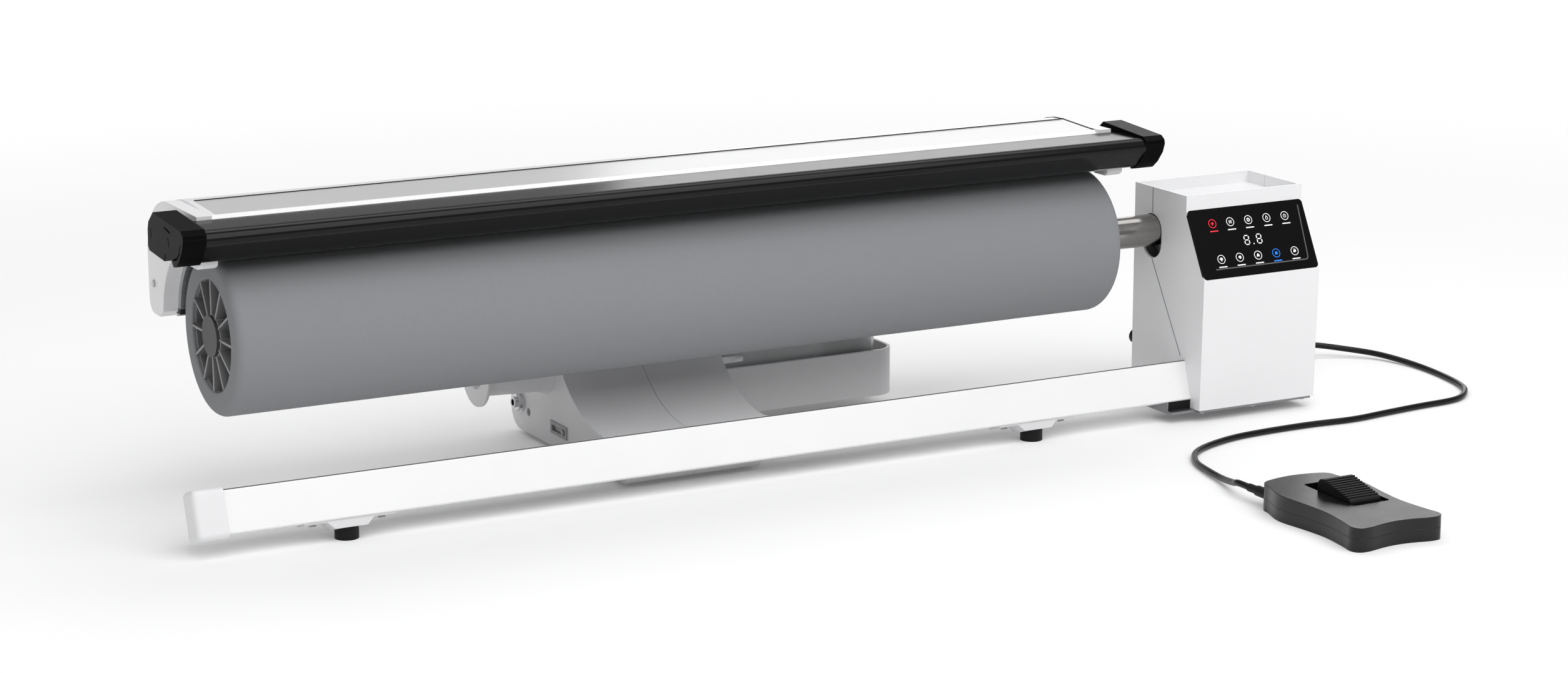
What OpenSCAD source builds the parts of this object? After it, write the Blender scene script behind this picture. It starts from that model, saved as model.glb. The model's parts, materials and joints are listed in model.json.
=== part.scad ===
/* [Roller] */
// Length of the padded roller
roller_len = 850; // [700:10:950]
// Outer radius of the padded roller
roller_r = 67; // [60:1:70]
// Height of the roller's axis above the table while it presses
axis_h = 169; // [166:1:176]
// Thickness of the padding and its cloth
cover_t = 6; // [4:0.5:9]
// Thickness of the cloth that wraps over the drum's ends
wrap_t = 4; // [3:0.5:6]
// Radius of the round opening that the cover leaves in each end
face_r = 47; // [40:1:50]
// Wall of the drum tube
drum_wall = 3; // [2:0.5:5]
// Number of radial ribs in the outer hub
rib_count = 12; // [8:1:16]
// Radius of the shaft outside the tower
shaft_r = 15; // [12:0.5:16]
// Radius of the shaft's journals inside the tower
journal_r = 10; // [8:0.5:10]
// How far the roller drops away from the shoe
lift_travel = 11; // [6:1:12]

/* [Tower] */
// Distance from the roller's end to the tower
tower_gap = 77; // [60:1:90]
// Width of the tower
tower_w = 130.5; // [128:0.5:150]
// Height of the tower's rim above the roller's axis
tower_rise = 41; // [40:1:56]
// Height of the shells' lower edge above the table
tower_low = 11.5; // [10:0.5:14]
// How far the back wall stands behind the roller's axis
tower_back = 29; // [29:1:40]
// How far the rim's front stands before the roller's axis
tower_front = 55; // [55:1:60]
// How far the foot of the slanted panel stands before the axis
panel_front = 86.3; // [84:0.1:92]
// Height of the rim above the slanted panel's upper edge
panel_rim = 14; // [12:1:20]
// Height from the slanted panel's lower edge to its upper edge
slant_rise = 60; // [56:1:64]
// Thickness of the shells' walls
wall = 2.5; // [2:0.1:3]
// Depth of the shelf recess in the tower's top
shelf_depth = 11; // [8:1:11]

/* [Beam] */
// Height of the beam's section
beam_h = 37; // [30:1:40]
// Depth of the beam's section
beam_d = 22; // [18:1:24]
// Wall of the beam's section
beam_wall = 1.5; // [1:0.1:3]
// Lean of the beam's front face
beam_tilt = 18.7; // [15:0.1:20]
// Overhang of the beam past the roller's outer end
beam_over = 15; // [5:1:30]
// Length of the moulded cap on the beam's end
beam_cap_len = 27; // [20:1:40]
// Distance of each rubber foot from the middle of the roller
foot_x = 334; // [280:1:360]
// Radius of a rubber foot
foot_r = 10.2; // [8:0.1:12]

/* [Base] */
// Half of the width of the base's housing
base_half_w = 66; // [60:1:74]
// Half of the width of the cove in the base's front
cove_half_w = 79; // [76:1:86]
// Radius of the cove that follows the roller
cove_r = 116; // [112:1:118]
// How far the base reaches behind the roller's axis
base_back = 206; // [200:1:220]
// Height of the cove's lowest line above the table
cove_floor_z = 45; // [43:1:48]
// Height of the column's top above the roller's axis
column_rise = 67; // [60:1:70]
// Thickness of the rubber pads under the base
pad_t = 4; // [4:0.5:6]
// Radius of the round disc on the side hub
disc_r = 30; // [26:1:32]
// Length of the water tank's tray
tray_len = 222; // [200:1:230]
// Depth of the water tank's tray from front to back
tray_d = 78; // [74:1:84]
// Height of the tray's wall
tray_h = 44; // [40:1:50]
// Height of the water tank
tank_h = 98; // [80:1:100]

/* [Press head] */
// Gap between the padding and the heated shoe while pressed
nip_gap = 1; // [0.5:0.1:3]
// Thickness of the shoe
shoe_t = 5; // [4:0.5:7]
// Thickness of each side cheek
cheek_t = 13; // [10:1:16]
// Length of each black end cap of the front rail
rail_cap_len = 20; // [14:1:26]
// Thickness of the glossy top panel
panel_t = 1.5; // [1:0.1:2]

/* [Foot pedal] */
// Width of the pedal
pedal_w = 87; // [82:1:96]
// Length of the pedal
pedal_len = 150; // [145:1:165]
// Height of the pedal at its back
pedal_h = 24; // [22:1:28]
// Drop of the pedal's top towards its front
pedal_fall = 3.5; // [2:0.5:5]
// Distance of the pedal's middle from the middle of the roller
pedal_x = 413; // [380:1:460]
// Distance of the pedal's back edge before the roller's axis
pedal_y = 345; // [330:1:380]
// Diameter of the pedal's cable
cable_d = 5.8; // [5:0.1:7]

/* [Hidden] */
$fn = 64;
// Overrun of a cut past the face that it opens
over = 1;
// Gap between pieces that slide or turn past one another
gap = 0.3;
// Radial clearance of a journal or pin in its bore
run_gap = 0.05;

// Sizes of the roller's pieces
half_len = roller_len / 2;
drum_half = half_len - wrap_t;
drum_r = roller_r - cover_t;
drum_in_r = drum_r - drum_wall;
cover_edge_r = 5;
cover_lip_r = 1.5;
hub_len = 24;
web_t = 3;
boss_r = 18;
boss_tail = 8;
cap_t = 3;
cap_r = 17.5;
cap_proud = 1;
rib_t = 1.6;
rib_inset = 1;
hub_hole_r = 6;
hub_hole_at = 33;
drive_hole_r = 10;
drive_hole_count = 6;
drive_boss_r = 22;
shaft_wall = 2.5;
hub_face = half_len + cap_proud - cap_t;

// Sizes of the tower's shells and panel
tower_x = half_len + tower_gap;
tower_right = tower_x + tower_w;
tower_top = axis_h + tower_rise;
panel_top = tower_top - panel_rim;
panel_low = panel_top - slant_rise;
slant_run = panel_front - tower_front;
slant_len = sqrt(slant_rise * slant_rise + slant_run * slant_run);
slant_angle = atan2(slant_rise, slant_run);
front_draft = 2.5;
low_front = panel_front - front_draft;
glass_t = 2;
glass_corner_r = 4;
shelf_t = 2;
shelf_z = tower_top - shelf_depth;
plate_t = 2.5;
plate_inset = 2;
tongue_len = 26;
tongue_back = 35;
tongue_front = 76;
tongue_lip_t = 1.5;
seam_y = -0.5;
seam_low_y = -51;
seam_low_z = 58;
seam_gap = 0.3;
slot_gap = 0.6;
gland_inset = 28.5;
gland_x = tower_right - gland_inset;
gland_z = 36;
gland_hole_r = 6;
gland_flange_r = 8;
gland_flange_t = 2;
gland_tail = 8;
mains_x = tower_x + 10;
mains_z = 58;
mains_r = 7;
mains_bore_r = 3.5;
mains_out = 10;

// Sizes of the mechanism inside the tower
frame_t = 3;
frame_gap = 3;
frame_top_z = shelf_z - shelf_t - frame_t;
frame_back = tower_back - wall - frame_gap;
frame_front = 50;
rod_r = 4;
rod_y = -31;
rod_inset_left = 20;
rod_inset_right = 24.5;
rod_left_x = tower_x + rod_inset_left;
rod_right_x = tower_right - rod_inset_right;
slider_r = 8;
slider_z = 96;
slider_len = 50;
bearing_r = 18.5;
bearing_t = 9;
bearing_groove = 0.8;
bearing_race = 3;
boss_wall = 4.5;
boss_len = 12;
boss_left_x = tower_x + 10;
boss_right_x = tower_right - 30.5;
arm_t = 6;
web_z = 100;
web_h = 42;
carriage_web_t = 4;
web_y = rod_y - carriage_web_t / 2;
gear_module = 1.4;
// Corners of a tooth as shares of the pitch along it and of the module across it
tooth_shares = [[-0.34, -1.2], [-0.13, 0.85], [0.13, 0.85], [0.34, -1.2]];
gear_teeth = 30;
pinion_teeth = 12;
gear_t = 10;
gear_x = boss_left_x + boss_len + 2;
gear_r = gear_module * gear_teeth / 2;
pinion_r = gear_module * pinion_teeth / 2;
mesh_angle = -102;
mesh_d = gear_r + pinion_r;
pinion_y = mesh_d * cos(mesh_angle);
pinion_z = axis_h + mesh_d * sin(mesh_angle);
gear_bore_hub_r = 14;
gear_hub_len = 1.5;
motor_plate_x = gear_x + gear_t + 2;
motor_plate_t = 3;
motor_r = 17;
motor_len = boss_right_x - motor_plate_x - motor_plate_t - frame_gap;
motor_gearbox_len = 22;
motor_end_r = 6;
motor_end_len = 3;
motor_shaft_r = 3;
motor_hole_r = 5;
rack_x = gear_x + 34;
rack_w = 10;
rack_low = 40;
rack_back = 7;
rack_y = -24;
lift_z = 70;
lift_y = rack_y + pinion_r;
lift_motor_r = 13;
lift_motor_len = 24;
lift_plate_x = rack_x + rack_w + gap;
lift_plate_back = 4;
board_t = 1.6;
board_margin = 10;
post_r = 3;
post_len = 4;
power_w = 84;
power_h = 78;
power_x = tower_x + 20;
power_z = 24;
power_post_len = 6;

// Sizes of the beam and its feet
beam_y = -69.8;
beam_z = 20.1;
beam_left = -half_len - beam_over;
beam_in_tower = 40;
beam_right = tower_x + beam_in_tower;
beam_cap_grow = 2.6;
beam_cap_r = 5;
bracket_t = 1.5;
bracket_w = 18;
bracket_top = 41;
bracket_bottom = 28.5;
bracket_h = 7.5;
bracket_tab = 20;
screw_r = 3;
screw_h = 1.6;
foot_y = -58;

// Sizes of the base
base_wall = 3;
base_seam = 0.4;
base_z = pad_t;
cove_y = -20;
cove_z = cove_floor_z + cove_r;
cove_end_angle = -2;
cove_lip_t = 3;
toe_flare = 26;
column_gap = 12;
column_deep = 42;
shoulder_out = 26;
shoulder_drop = 24;
column_top = axis_h + column_rise;
column_front = cove_y + cove_r + column_gap;
column_back = column_front + column_deep;
column_shoulder_y = column_back + shoulder_out;
column_shoulder_z = column_top - shoulder_drop;
base_heel_r = 20;
base_toe_y = -32;
back_slope = 94;
base_back_z = column_shoulder_z - back_slope;
seat_low_z = 20;
pad_d = 24;
pad_inset = 20;
rear_pad_y = 172;
column_w = 44;
column_d = 26;
column_in = 8;
column_y = column_front + column_in;
column_t = 3;
hub_y = 134.5;
hub_z = 75;
hub_tube_r = 21;
hub_root_r = 23;
hub_root_angle = 150;
hub_out = 67;
disc_t = 2.5;
hub_core_r = 11;
hub_tooth_count = 16;
hub_tooth_r = 14;
hub_tooth_t = 0.8;
hub_tooth_h = 1.2;
fitting_y = 183;
fitting_z = 31;
fitting_flange_r = 9;
fitting_flange_t = 2;
fitting_nut_r = 8.5;
fitting_nut_t = 4;
fitting_tube_r = 5;
fitting_bore_r = 3.2;
fitting_len = 9;
drain_y = 168;
drain_z = 24;
drain_r = 3.8;
switch_y = 84.5;
switch_z = 16.3;
switch_len = 34;
switch_h = 11.6;
switch_rim = 1.6;
switch_proud = 1.2;
switch_depth = 12;
rocker_tilt = 8;
rocker_rise = 3.5;
rocker_pin_r = 1;
rocker_sink = 2.8;
rocker_x = -base_half_w + rocker_sink;
bolt_x = 12;
bolt_r = 4;
bolt_low = 22;
bolt_high = 38;
pump_x = 18;
pump_y = 60;
pump_r = 16;
pump_len = 40;
pump_cradle_z = 26;

// Sizes of the water tank and its tray
tray_y = 104;
tray_z = 14;
tray_wall = 3;
tray_corner_r = 22;
tank_gap = 8;
tank_right_gap = 20;
tank_d = 56;
tank_left = 34;
tank_wall = 2;
tank_corner_r = 6;
tank_mouth_r = 14;
lid_t = 3;
lid_r = 18;
lid_grip_r = 8;
lid_grip_h = 8;
filter_w = 26;
filter_h = 76;
filter_d = 30;
filter_y = 16;
lug_len = 54;
lug_root = 18;
lug_tip_r = 5;
lug_t = 3;
lug_hole_r = 2;
lug_z = 66;
lug_y = 101;
lug_peg_r = 1.4;
lug_peg_at = 20;

// Sizes of the press head
shoe_in_r = roller_r + nip_gap;
shoe_out_r = shoe_in_r + shoe_t;
shoe_low_angle = 8;
shoe_top_angle = 106;
seal_angle = 4;
seal_t = 7;
cheek_gap = 2;
head_half = half_len + cheek_gap;
cheek_out = head_half + cheek_t;
head_wall = 2.5;
head_back = column_front;
head_low_z = axis_h + 2;
panel_margin = 1;
panel_side = 6;
heater_r = 3.5;
heater_sink = 1;
heater_mid_r = shoe_out_r + heater_r - heater_sink;
heater_angles = [25, 52, 79];
heater_half = 395;
shoe_rib_t = 8;
shoe_rib_low = 14;
shoe_rib_high = 30;
shoe_rib_x = [-300, -100, 100, 300];
spine_half = 400;
spine_t = 2.5;
spine_in = 16;
spine_y = column_front - spine_in;
spine_low = 11;
spine_high = 49;
rail_wall = 2;
rail_over = 8;
rail_half = cheek_out + rail_over;
rail_groove = 1;
rail_nose_r = 8;
slot_w = 1.6;
slot_depth = 2;
cheek_screw_y = 93;
cheek_screw_up = 28;
cheek_lift = 6;
// Outlines of the head's pieces as shares of the distance from the axis to its back
cover_shares = [[-0.185, 0.889], [-0.185, 0.907], [-0.12, 0.954], [0.37, 0.977], [0.509, 0.972],
  [0.62, 0.95], [0.722, 0.917], [0.795, 0.877], [0.852, 0.824], [0.909, 0.744], [0.954, 0.648],
  [0.985, 0.556], [1, 0.463], [1, 0.074], [0.935, 0.019], [0.704, 0.019]];
cheek_shares = [[-0.185, 0.963], [0.509, 0.963], [0.611, 0.949], [0.713, 0.912], [0.781, 0.875],
  [0.833, 0.833], [0.918, 0.704], [0.99, 0.556], [0.99, 0.12], [0.975, 0.075], [0.94, 0.035],
  [0.88, 0.019], [0.75, 0.019]];
rail_shares = [[-0.574, 0.796], [-0.5, 0.713], [-0.468, 0.681], [-0.435, 0.667], [-0.37, 0.667],
  [-0.324, 0.694], [-0.185, 0.671], [-0.185, 0.935]];
rail_nose_share = [-0.537, 0.856];
rail_nose_angles = [92, 202];
rail_cap_shares = [[0.046, 0.986], [0.157, 0.898], [0.181, 0.838], [0.185, 0.704], [0.157, 0.676],
  [-0.185, 0.653], [-0.343, 0.69], [-0.389, 0.644], [-0.444, 0.654], [-0.519, 0.713],
  [-0.593, 0.806], [-0.62, 0.88], [-0.611, 0.917], [-0.565, 0.947]];
cap_slot_shares = [[[0.108, 0.848], [0.096, 0.796]], [[-0.218, 0.914], [-0.328, 0.894]],
  [[-0.285, 0.845], [-0.297, 0.791]], [[-0.211, 0.708], [-0.194, 0.667]]];
cap_slit_shares = [[-0.556, 0.833], [-0.528, 0.77], [-0.472, 0.722], [-0.398, 0.7]];
plug_shares = [[-0.167, 0.704], [-0.167, 0.907], [0.148, 0.87], [0.148, 0.704]];

// Sizes of the pedal and its cable
split_h = 11;
pedal_wall = 2.5;
// Plan of the pedal as shares of its width and of its length
pedal_shares = [[0, 0], [0.272, -0.022], [0.391, -0.058], [0.42, -0.128], [0.5, -0.288],
  [0.467, -0.481], [0.446, -0.673], [0.489, -0.865], [0.518, -0.955], [0.47, -1.005],
  [0.35, -1.01], [0.18, -0.988], [0, -0.978], [-0.18, -0.988], [-0.35, -1.01], [-0.47, -1.005],
  [-0.518, -0.955], [-0.489, -0.865], [-0.446, -0.673], [-0.467, -0.481], [-0.5, -0.288],
  [-0.42, -0.128], [-0.391, -0.058], [-0.272, -0.022]];
well_left = -7;
well_w = 38;
well_back = 27;
well_len = 70;
well_floor_t = 2;
well_corner_r = 3;
treadle_w = 31;
treadle_side = 1.5;
treadle_back = 45;
treadle_len = 47;
treadle_low = 9;
treadle_lift = 4;
treadle_high = 22.5;
treadle_ridge = 8;
treadle_top_r = 6;
treadle_nose_r = 3.5;
treadle_front_h = 14;
hinge_r = 4;
hinge_up = 6.5;
treadle_pin_r = 2;
treadle_pin_len = 3;
treadle_rib_count = 10;
treadle_rib_w = 1.6;
treadle_rib_h = 0.8;
relief_r = 4.6;
relief_tip_r = 3.6;
relief_len = 16;
relief_tip_len = 12;
relief_z = 12;
relief_left = 27.5;
relief_back = 7.5;
micro_w = 20;
micro_d = 10;
micro_h = 8;
micro_button_r = 1.5;
micro_y = 55;
cable_sides = 10;
cable_steps = 2;
// Middle line of the cable's free stretch between the tower and the pedal
cable_route = concat([[gland_x, tower_back + gland_tail + gap, gland_z]],
  [[604, 52, 36], [612, 70, 33], [634, 84, 28], [664, 92, 24], [700, 96, 19], [735, 90, 15],
    [761, 80, 12], [782, 68, 9], [805, 44, 6], [815, 11, 4], [816, -28, 3], [809, -71, 3],
    [801, -97, 3], [792, -112, 3], [775, -128, 3], [754, -136, 3], [715, -139, 3],
    [672, -144, 3], [630, -149, 3], [582, -146, 3], [532, -147, 3], [491, -152, 3],
    [452, -166, 3], [428, -183, 3], [412, -209, 3], [403, -240, 4], [397, -268, 5],
    [389, -296, 9], [385.5, -308, 12]],
  [[pedal_x - relief_left, -pedal_y - relief_back + relief_len + relief_tip_len + gap, relief_z]]);

// Unit vector from one point to another
function towards(p, q) = (q - p) / norm(q - p);
// Shift of a corner between two edges so that both move sideways by t
function mitre(a, b, t) = let (na = [a[1], -a[0]], nb = [b[1], -b[0]]) t * (na + nb) / (1 + na * nb);
// An open outline moved sideways by t
function inset(p, t) = let (n = len(p) - 1) [for (i = [0 : n])
  p[i] + mitre(towards(p[max(i, 1) - 1], p[max(i, 1)]), towards(p[min(i, n - 1)], p[min(i, n - 1) + 1]), t)];
// A closed outline moved sideways by t
function inset_loop(p, t) = let (n = len(p)) [for (i = [0 : n - 1])
  p[i] + mitre(towards(p[(i + n - 1) % n], p[i]), towards(p[i], p[(i + 1) % n]), t)];
// Reversed list
function reversed(p) = [for (i = [len(p) - 1 : -1 : 0]) p[i]];
// Point on a smooth curve between b and c
function curve_point(a, b, c, d, t) =
  b + (c - a) * t / 2 + (2 * a - 5 * b + 4 * c - d) * t * t / 2 + (3 * b - a - 3 * c + d) * t * t * t / 2;
// A closed smooth curve through points
function smooth_loop(p, n) = let (m = len(p)) [for (i = [0 : m - 1], k = [0 : n - 1])
  curve_point(p[(i + m - 1) % m], p[i], p[(i + 1) % m], p[(i + 2) % m], k / n)];
// An open smooth curve through points
function smooth_path(p, n) = let (m = len(p) - 1) concat([for (i = [0 : m - 1], k = [0 : n - 1])
  curve_point(p[max(i - 1, 0)], p[i], p[i + 1], p[min(i + 2, m)], k / n)], [p[m]]);
// Y of the beam's leaning back face at a height
function beam_back_y(z) =
  beam_y + beam_d * cos(beam_tilt) + (z - beam_z + beam_d * sin(beam_tilt)) * tan(beam_tilt);
// Points along an arc
function arc(c, r, a0, a1, n = 8) =
  [for (i = [0 : n]) c + r * [cos(a0 + (a1 - a0) * i / n), sin(a0 + (a1 - a0) * i / n)]];
// Outline of a spur gear with straight-flanked teeth
function gear_outline(teeth, r, m) = [for (i = [0 : teeth - 1])
  for (p = tooth_shares)
    (r + p[1] * m) * [cos((i + p[0]) * 360 / teeth), sin((i + p[0]) * 360 / teeth)]];

// Extrudes an outline drawn in (Y, Z) along X
module along_x(x, len) {
  translate([x, 0, 0])
    rotate([90, 0, 90])
      linear_extrude(len)
        children();
}
// A rod along X
module x_rod(x, len, r) {
  translate([x, 0, 0])
    rotate([0, 90, 0])
      cylinder(h = len, r = r);
}
// Turns an outline drawn in (radius, X) about the X axis
module x_turn() {
  rotate([0, 90, 0])
    rotate_extrude()
      children();
}
// Places a piece on the roller's axis
module on_axis() {
  translate([0, 0, axis_h])
    children();
}
// A flat rounded rectangle centred on its origin
module rounded_rect(w, d, r) {
  square([w - 2 * r, d], center = true);
  square([w, d - 2 * r], center = true);
  for (x = [-1, 1], y = [-1, 1])
    translate([x * (w / 2 - r), y * (d / 2 - r)])
      circle(r);
}

// Padded cloth cover, wrapped over the drum's ends
module roller_cover() {
  color("dimgray")
    on_axis()
      x_turn()
        polygon(concat(
          [[drum_r, -drum_half], [face_r, -drum_half]],
          arc([face_r + cover_lip_r, -half_len + cover_lip_r], cover_lip_r, 180, 270, 4),
          arc([roller_r - cover_edge_r, -half_len + cover_edge_r], cover_edge_r, 270, 360),
          arc([roller_r - cover_edge_r, half_len - cover_edge_r], cover_edge_r, 0, 90),
          arc([face_r + cover_lip_r, half_len - cover_lip_r], cover_lip_r, 90, 180, 4),
          [[face_r, drum_half], [drum_r, drum_half]]));
}
// Thin-walled drum under the padding
module roller_drum() {
  color("silver")
    on_axis()
      difference() {
        x_rod(-drum_half, 2 * drum_half, drum_r);
        x_rod(-drum_half - over, 2 * (drum_half + over), drum_in_r);
      }
}
// Outer hub with thin radial ribs before a holed web
module spoked_hub() {
  inner_x = -drum_half + hub_len;
  rib_x = -half_len + rib_inset;
  color("gray")
    on_axis()
      difference() {
        union() {
          x_turn() {
            translate([face_r, -drum_half])
              square([drum_in_r - face_r, hub_len]);
            translate([boss_r, inner_x - web_t])
              square([face_r - boss_r, web_t]);
            translate([shaft_r, -hub_face])
              square([boss_r - shaft_r, inner_x + boss_tail + hub_face]);
          }
          for (i = [0 : rib_count - 1])
            rotate([i * 360 / rib_count, 0, 0])
              translate([0, 0, -rib_t / 2])
                linear_extrude(rib_t)
                  polygon([[rib_x, boss_r - gap], [rib_x, face_r - gap], [gap - drum_half, face_r - gap],
                    [gap - drum_half, face_r + rib_t], [inner_x - web_t / 2, face_r + rib_t],
                    [inner_x - web_t / 2, boss_r - gap]]);
        }
        for (i = [0 : rib_count - 1])
          rotate([(i + 0.5) * 360 / rib_count, 0, 0])
            translate([0, hub_hole_at, 0])
              x_rod(inner_x - web_t - over, web_t + 2 * over, hub_hole_r);
      }
}
// Round cap that covers the shaft's end
module hub_cap() {
  color("darkslategray")
    on_axis()
      x_rod(-hub_face - cap_t, cap_t, cap_r);
}
// Inner hub that carries the drum on the shaft
module drive_hub() {
  hub_x = drum_half - hub_len;
  color("gray")
    on_axis()
      difference() {
        x_turn() {
          translate([face_r, hub_x])
            square([drum_in_r - face_r, hub_len]);
          translate([drive_boss_r, hub_x + web_t])
            square([face_r - drive_boss_r, web_t]);
          translate([shaft_r, hub_x - boss_tail])
            square([drive_boss_r - shaft_r, hub_len + boss_tail]);
        }
        for (i = [0 : drive_hole_count - 1])
          rotate([i * 360 / drive_hole_count, 0, 0])
            translate([0, (drive_boss_r + face_r) / 2, 0])
              x_rod(hub_x + web_t - over, web_t + 2 * over, drive_hole_r);
      }
}
// Steel tube shaft that necks down to a journal inside the tower
module roller_shaft() {
  step_x = tower_x + 2 * wall;
  end_x = boss_right_x + boss_len + wall;
  color("lightsteelblue")
    on_axis()
      difference() {
        union() {
          x_rod(-hub_face, step_x + hub_face, shaft_r);
          x_rod(step_x, end_x - step_x, journal_r);
        }
        x_rod(-hub_face - over, step_x + hub_face - 2 * wall, shaft_r - shaft_wall);
      }
}
// Large gear fixed on the shaft's journal
module drive_gear() {
  color("whitesmoke")
    on_axis()
      difference() {
        union() {
          along_x(gear_x, gear_t)
            rotate(mesh_angle)
              polygon(gear_outline(gear_teeth, gear_r, gear_module));
          x_rod(gear_x - gear_hub_len, gear_hub_len + over, gear_bore_hub_r);
        }
        x_rod(gear_x - 2 * over - gear_hub_len, gear_t + gear_hub_len + 4 * over, journal_r);
      }
}
// One bearing housing with its arm down to the slider
module carriage_side(boss_x, slider_x) {
  arm_x = boss_x + (boss_len - arm_t) / 2;
  on_axis()
    x_rod(boss_x, boss_len, bearing_r + boss_wall);
  along_x(arm_x, arm_t)
    polygon([[rod_y, slider_z], [rod_y + slider_r, slider_z], [-boss_r, axis_h - boss_r],
      [0, axis_h], [-boss_r, axis_h + boss_wall], [rod_y, slider_z + slider_len]]);
  translate([slider_x, rod_y, slider_z])
    cylinder(h = slider_len, r = slider_r);
}
// Sliding carriage with both bearing housings, the motor plate and the rack
module lift_carriage() {
  tooth = 2 * PI * pinion_r / pinion_teeth;
  color("slategray")
    difference() {
      union() {
        carriage_side(boss_left_x, rod_left_x);
        carriage_side(boss_right_x, rod_right_x);
        translate([rod_left_x, web_y, web_z])
          cube([rod_right_x - rod_left_x, carriage_web_t, web_h]);
        along_x(motor_plate_x, motor_plate_t)
          polygon([[web_y, web_z + over], [pinion_y + motor_r, pinion_z - motor_r],
            [pinion_y + motor_r, pinion_z + boss_wall], [pinion_y, axis_h - journal_r - wall],
            [web_y, axis_h - boss_r]]);
        along_x(rack_x, rack_w)
          polygon(concat([[rack_y - rack_back, web_z + web_h], [rack_y - rack_back, rack_low]],
            [for (i = [-5 : 5]) for (p = tooth_shares)
              [rack_y + p[1] * gear_module, lift_z + (i + 0.5 + p[0]) * tooth]],
            [[rack_y + tooth_shares[0][1] * gear_module, web_z + web_h]]));
      }
      for (x = [rod_left_x, rod_right_x])
        translate([x, rod_y, slider_z - over])
          cylinder(h = axis_h - slider_z, r = rod_r + run_gap);
      on_axis() {
        x_rod(boss_left_x - over, boss_len - bearing_race + over, bearing_r);
        x_rod(boss_left_x, 2 * boss_len, bearing_r - boss_wall);
        x_rod(boss_right_x + bearing_race, boss_len, bearing_r);
        x_rod(boss_right_x - boss_len, 2 * boss_len, bearing_r - boss_wall);
      }
      translate([0, pinion_y, pinion_z])
        x_rod(motor_plate_x - over, motor_plate_t + 2 * over, motor_hole_r);
    }
}
// Two ball bearings with shielded faces
module shaft_bearings() {
  color("gainsboro")
    on_axis()
      for (x = [boss_left_x, boss_right_x + bearing_race])
        difference() {
          x_rod(x, bearing_t, bearing_r);
          x_rod(x - over, bearing_t + 2 * over, journal_r + run_gap);
          for (face_x = [x - over, x + bearing_t - bearing_groove])
            difference() {
              x_rod(face_x, bearing_groove + over, bearing_r - bearing_race);
              x_rod(face_x - over, bearing_groove + 3 * over, journal_r + bearing_race);
            }
        }
}
// Geared motor that turns the roller
module drive_motor() {
  face_x = motor_plate_x + motor_plate_t;
  color("dimgray")
    translate([0, pinion_y, pinion_z]) {
      x_rod(face_x, motor_gearbox_len, motor_r);
      x_rod(face_x + motor_gearbox_len, motor_len - motor_gearbox_len, motor_r - wall);
      x_rod(face_x + motor_len, motor_end_len, motor_end_r);
    }
}
// Small gear on the drive motor's output shaft
module drive_pinion() {
  color("gold")
    translate([0, pinion_y, pinion_z]) {
      along_x(gear_x, gear_t)
        rotate(mesh_angle + 180 + 180 / pinion_teeth)
          polygon(gear_outline(pinion_teeth, pinion_r, gear_module));
      x_rod(gear_x + gear_t - over, motor_plate_x + motor_plate_t - gear_x - gear_t + over - gap,
        motor_shaft_r);
    }
}
// Side outline of the tower, drawn in (Y, Z)
module tower_outline() {
  polygon([[tower_back, tower_low], [tower_back, tower_top], [-tower_front, tower_top],
    [-tower_front, panel_top], [-panel_front, panel_low], [-low_front, tower_low]]);
}
// Outline of the room inside the tower's walls, open at the top and the bottom
module tower_inside() {
  drop = (wall + glass_t) / cos(slant_angle) - wall * tan(slant_angle);
  polygon([[tower_back - wall, tower_low - over], [tower_back - wall, tower_top + over],
    [-tower_front + wall, tower_top + over], [-tower_front + wall, panel_top - drop],
    [-panel_front + wall, panel_low - drop], [-low_front + wall, tower_low - over]]);
}
// Slanted face's own plane: X to the right, Y up the slope, Z outwards
module on_slant() {
  translate([tower_x, -panel_front, panel_low])
    rotate([slant_angle, 0, 0])
      children();
}
// Black glass plate, drawn from its lower left corner
module glass_plate(t) {
  linear_extrude(t)
    translate([tower_w / 2, slant_len / 2])
      rounded_rect(tower_w, slant_len, glass_corner_r);
}
// Region behind the seam between the tower's two shells
module rear_region() {
  slot_low = axis_h - lift_travel - shaft_r;
  along_x(tower_x - over, tower_w + 2 * over)
    polygon([[seam_y, tower_top + over], [seam_y, slot_low], [seam_low_y, seam_low_z],
      [seam_low_y, tower_low - over], [tower_back + over, tower_low - over],
      [tower_back + over, tower_top + over]]);
}
// Both shells of the tower in one piece, before they part at the seam
module tower_walls() {
  difference() {
    along_x(tower_x, tower_w)
      tower_outline();
    along_x(tower_x + wall, tower_w - 2 * wall)
      tower_inside();
    // Slot for the shaft
    on_axis() {
      x_rod(tower_x - over, wall + 2 * over, shaft_r + slot_gap);
      translate([0, 0, -lift_travel])
        x_rod(tower_x - over, wall + 2 * over, shaft_r + slot_gap);
      translate([tower_x - over, -shaft_r - slot_gap, -lift_travel])
        cube([wall + 2 * over, 2 * (shaft_r + slot_gap), lift_travel]);
    }
    // Window for the beam
    on_beam()
      translate([tower_x - over, 0, 0])
        cube([wall + 2 * over, beam_d, beam_h]);
    // Pocket for the glass panel
    on_slant()
      translate([0, 0, -glass_t])
        glass_plate(glass_t + over);
    // Holes for the two glands in the back
    translate([gland_x, tower_back + over, gland_z])
      rotate([90, 0, 0])
        cylinder(h = wall + 2 * over, r = gland_hole_r);
    translate([mains_x, tower_back + over, mains_z])
      rotate([90, 0, 0])
        cylinder(h = wall + 2 * over, r = mains_r - over);
  }
}
// Front shell with the control panel's pocket and the board's posts
module tower_front_shell() {
  color("white") {
    difference() {
      tower_walls();
      rear_region();
    }
    on_slant()
      for (x = [board_margin + post_r, tower_w - board_margin - post_r], y = [0.3, 0.8])
        translate([x, y * slant_len, -glass_t - wall - post_len])
          cylinder(h = post_len + wall / 2, r = post_r);
  }
}
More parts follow.
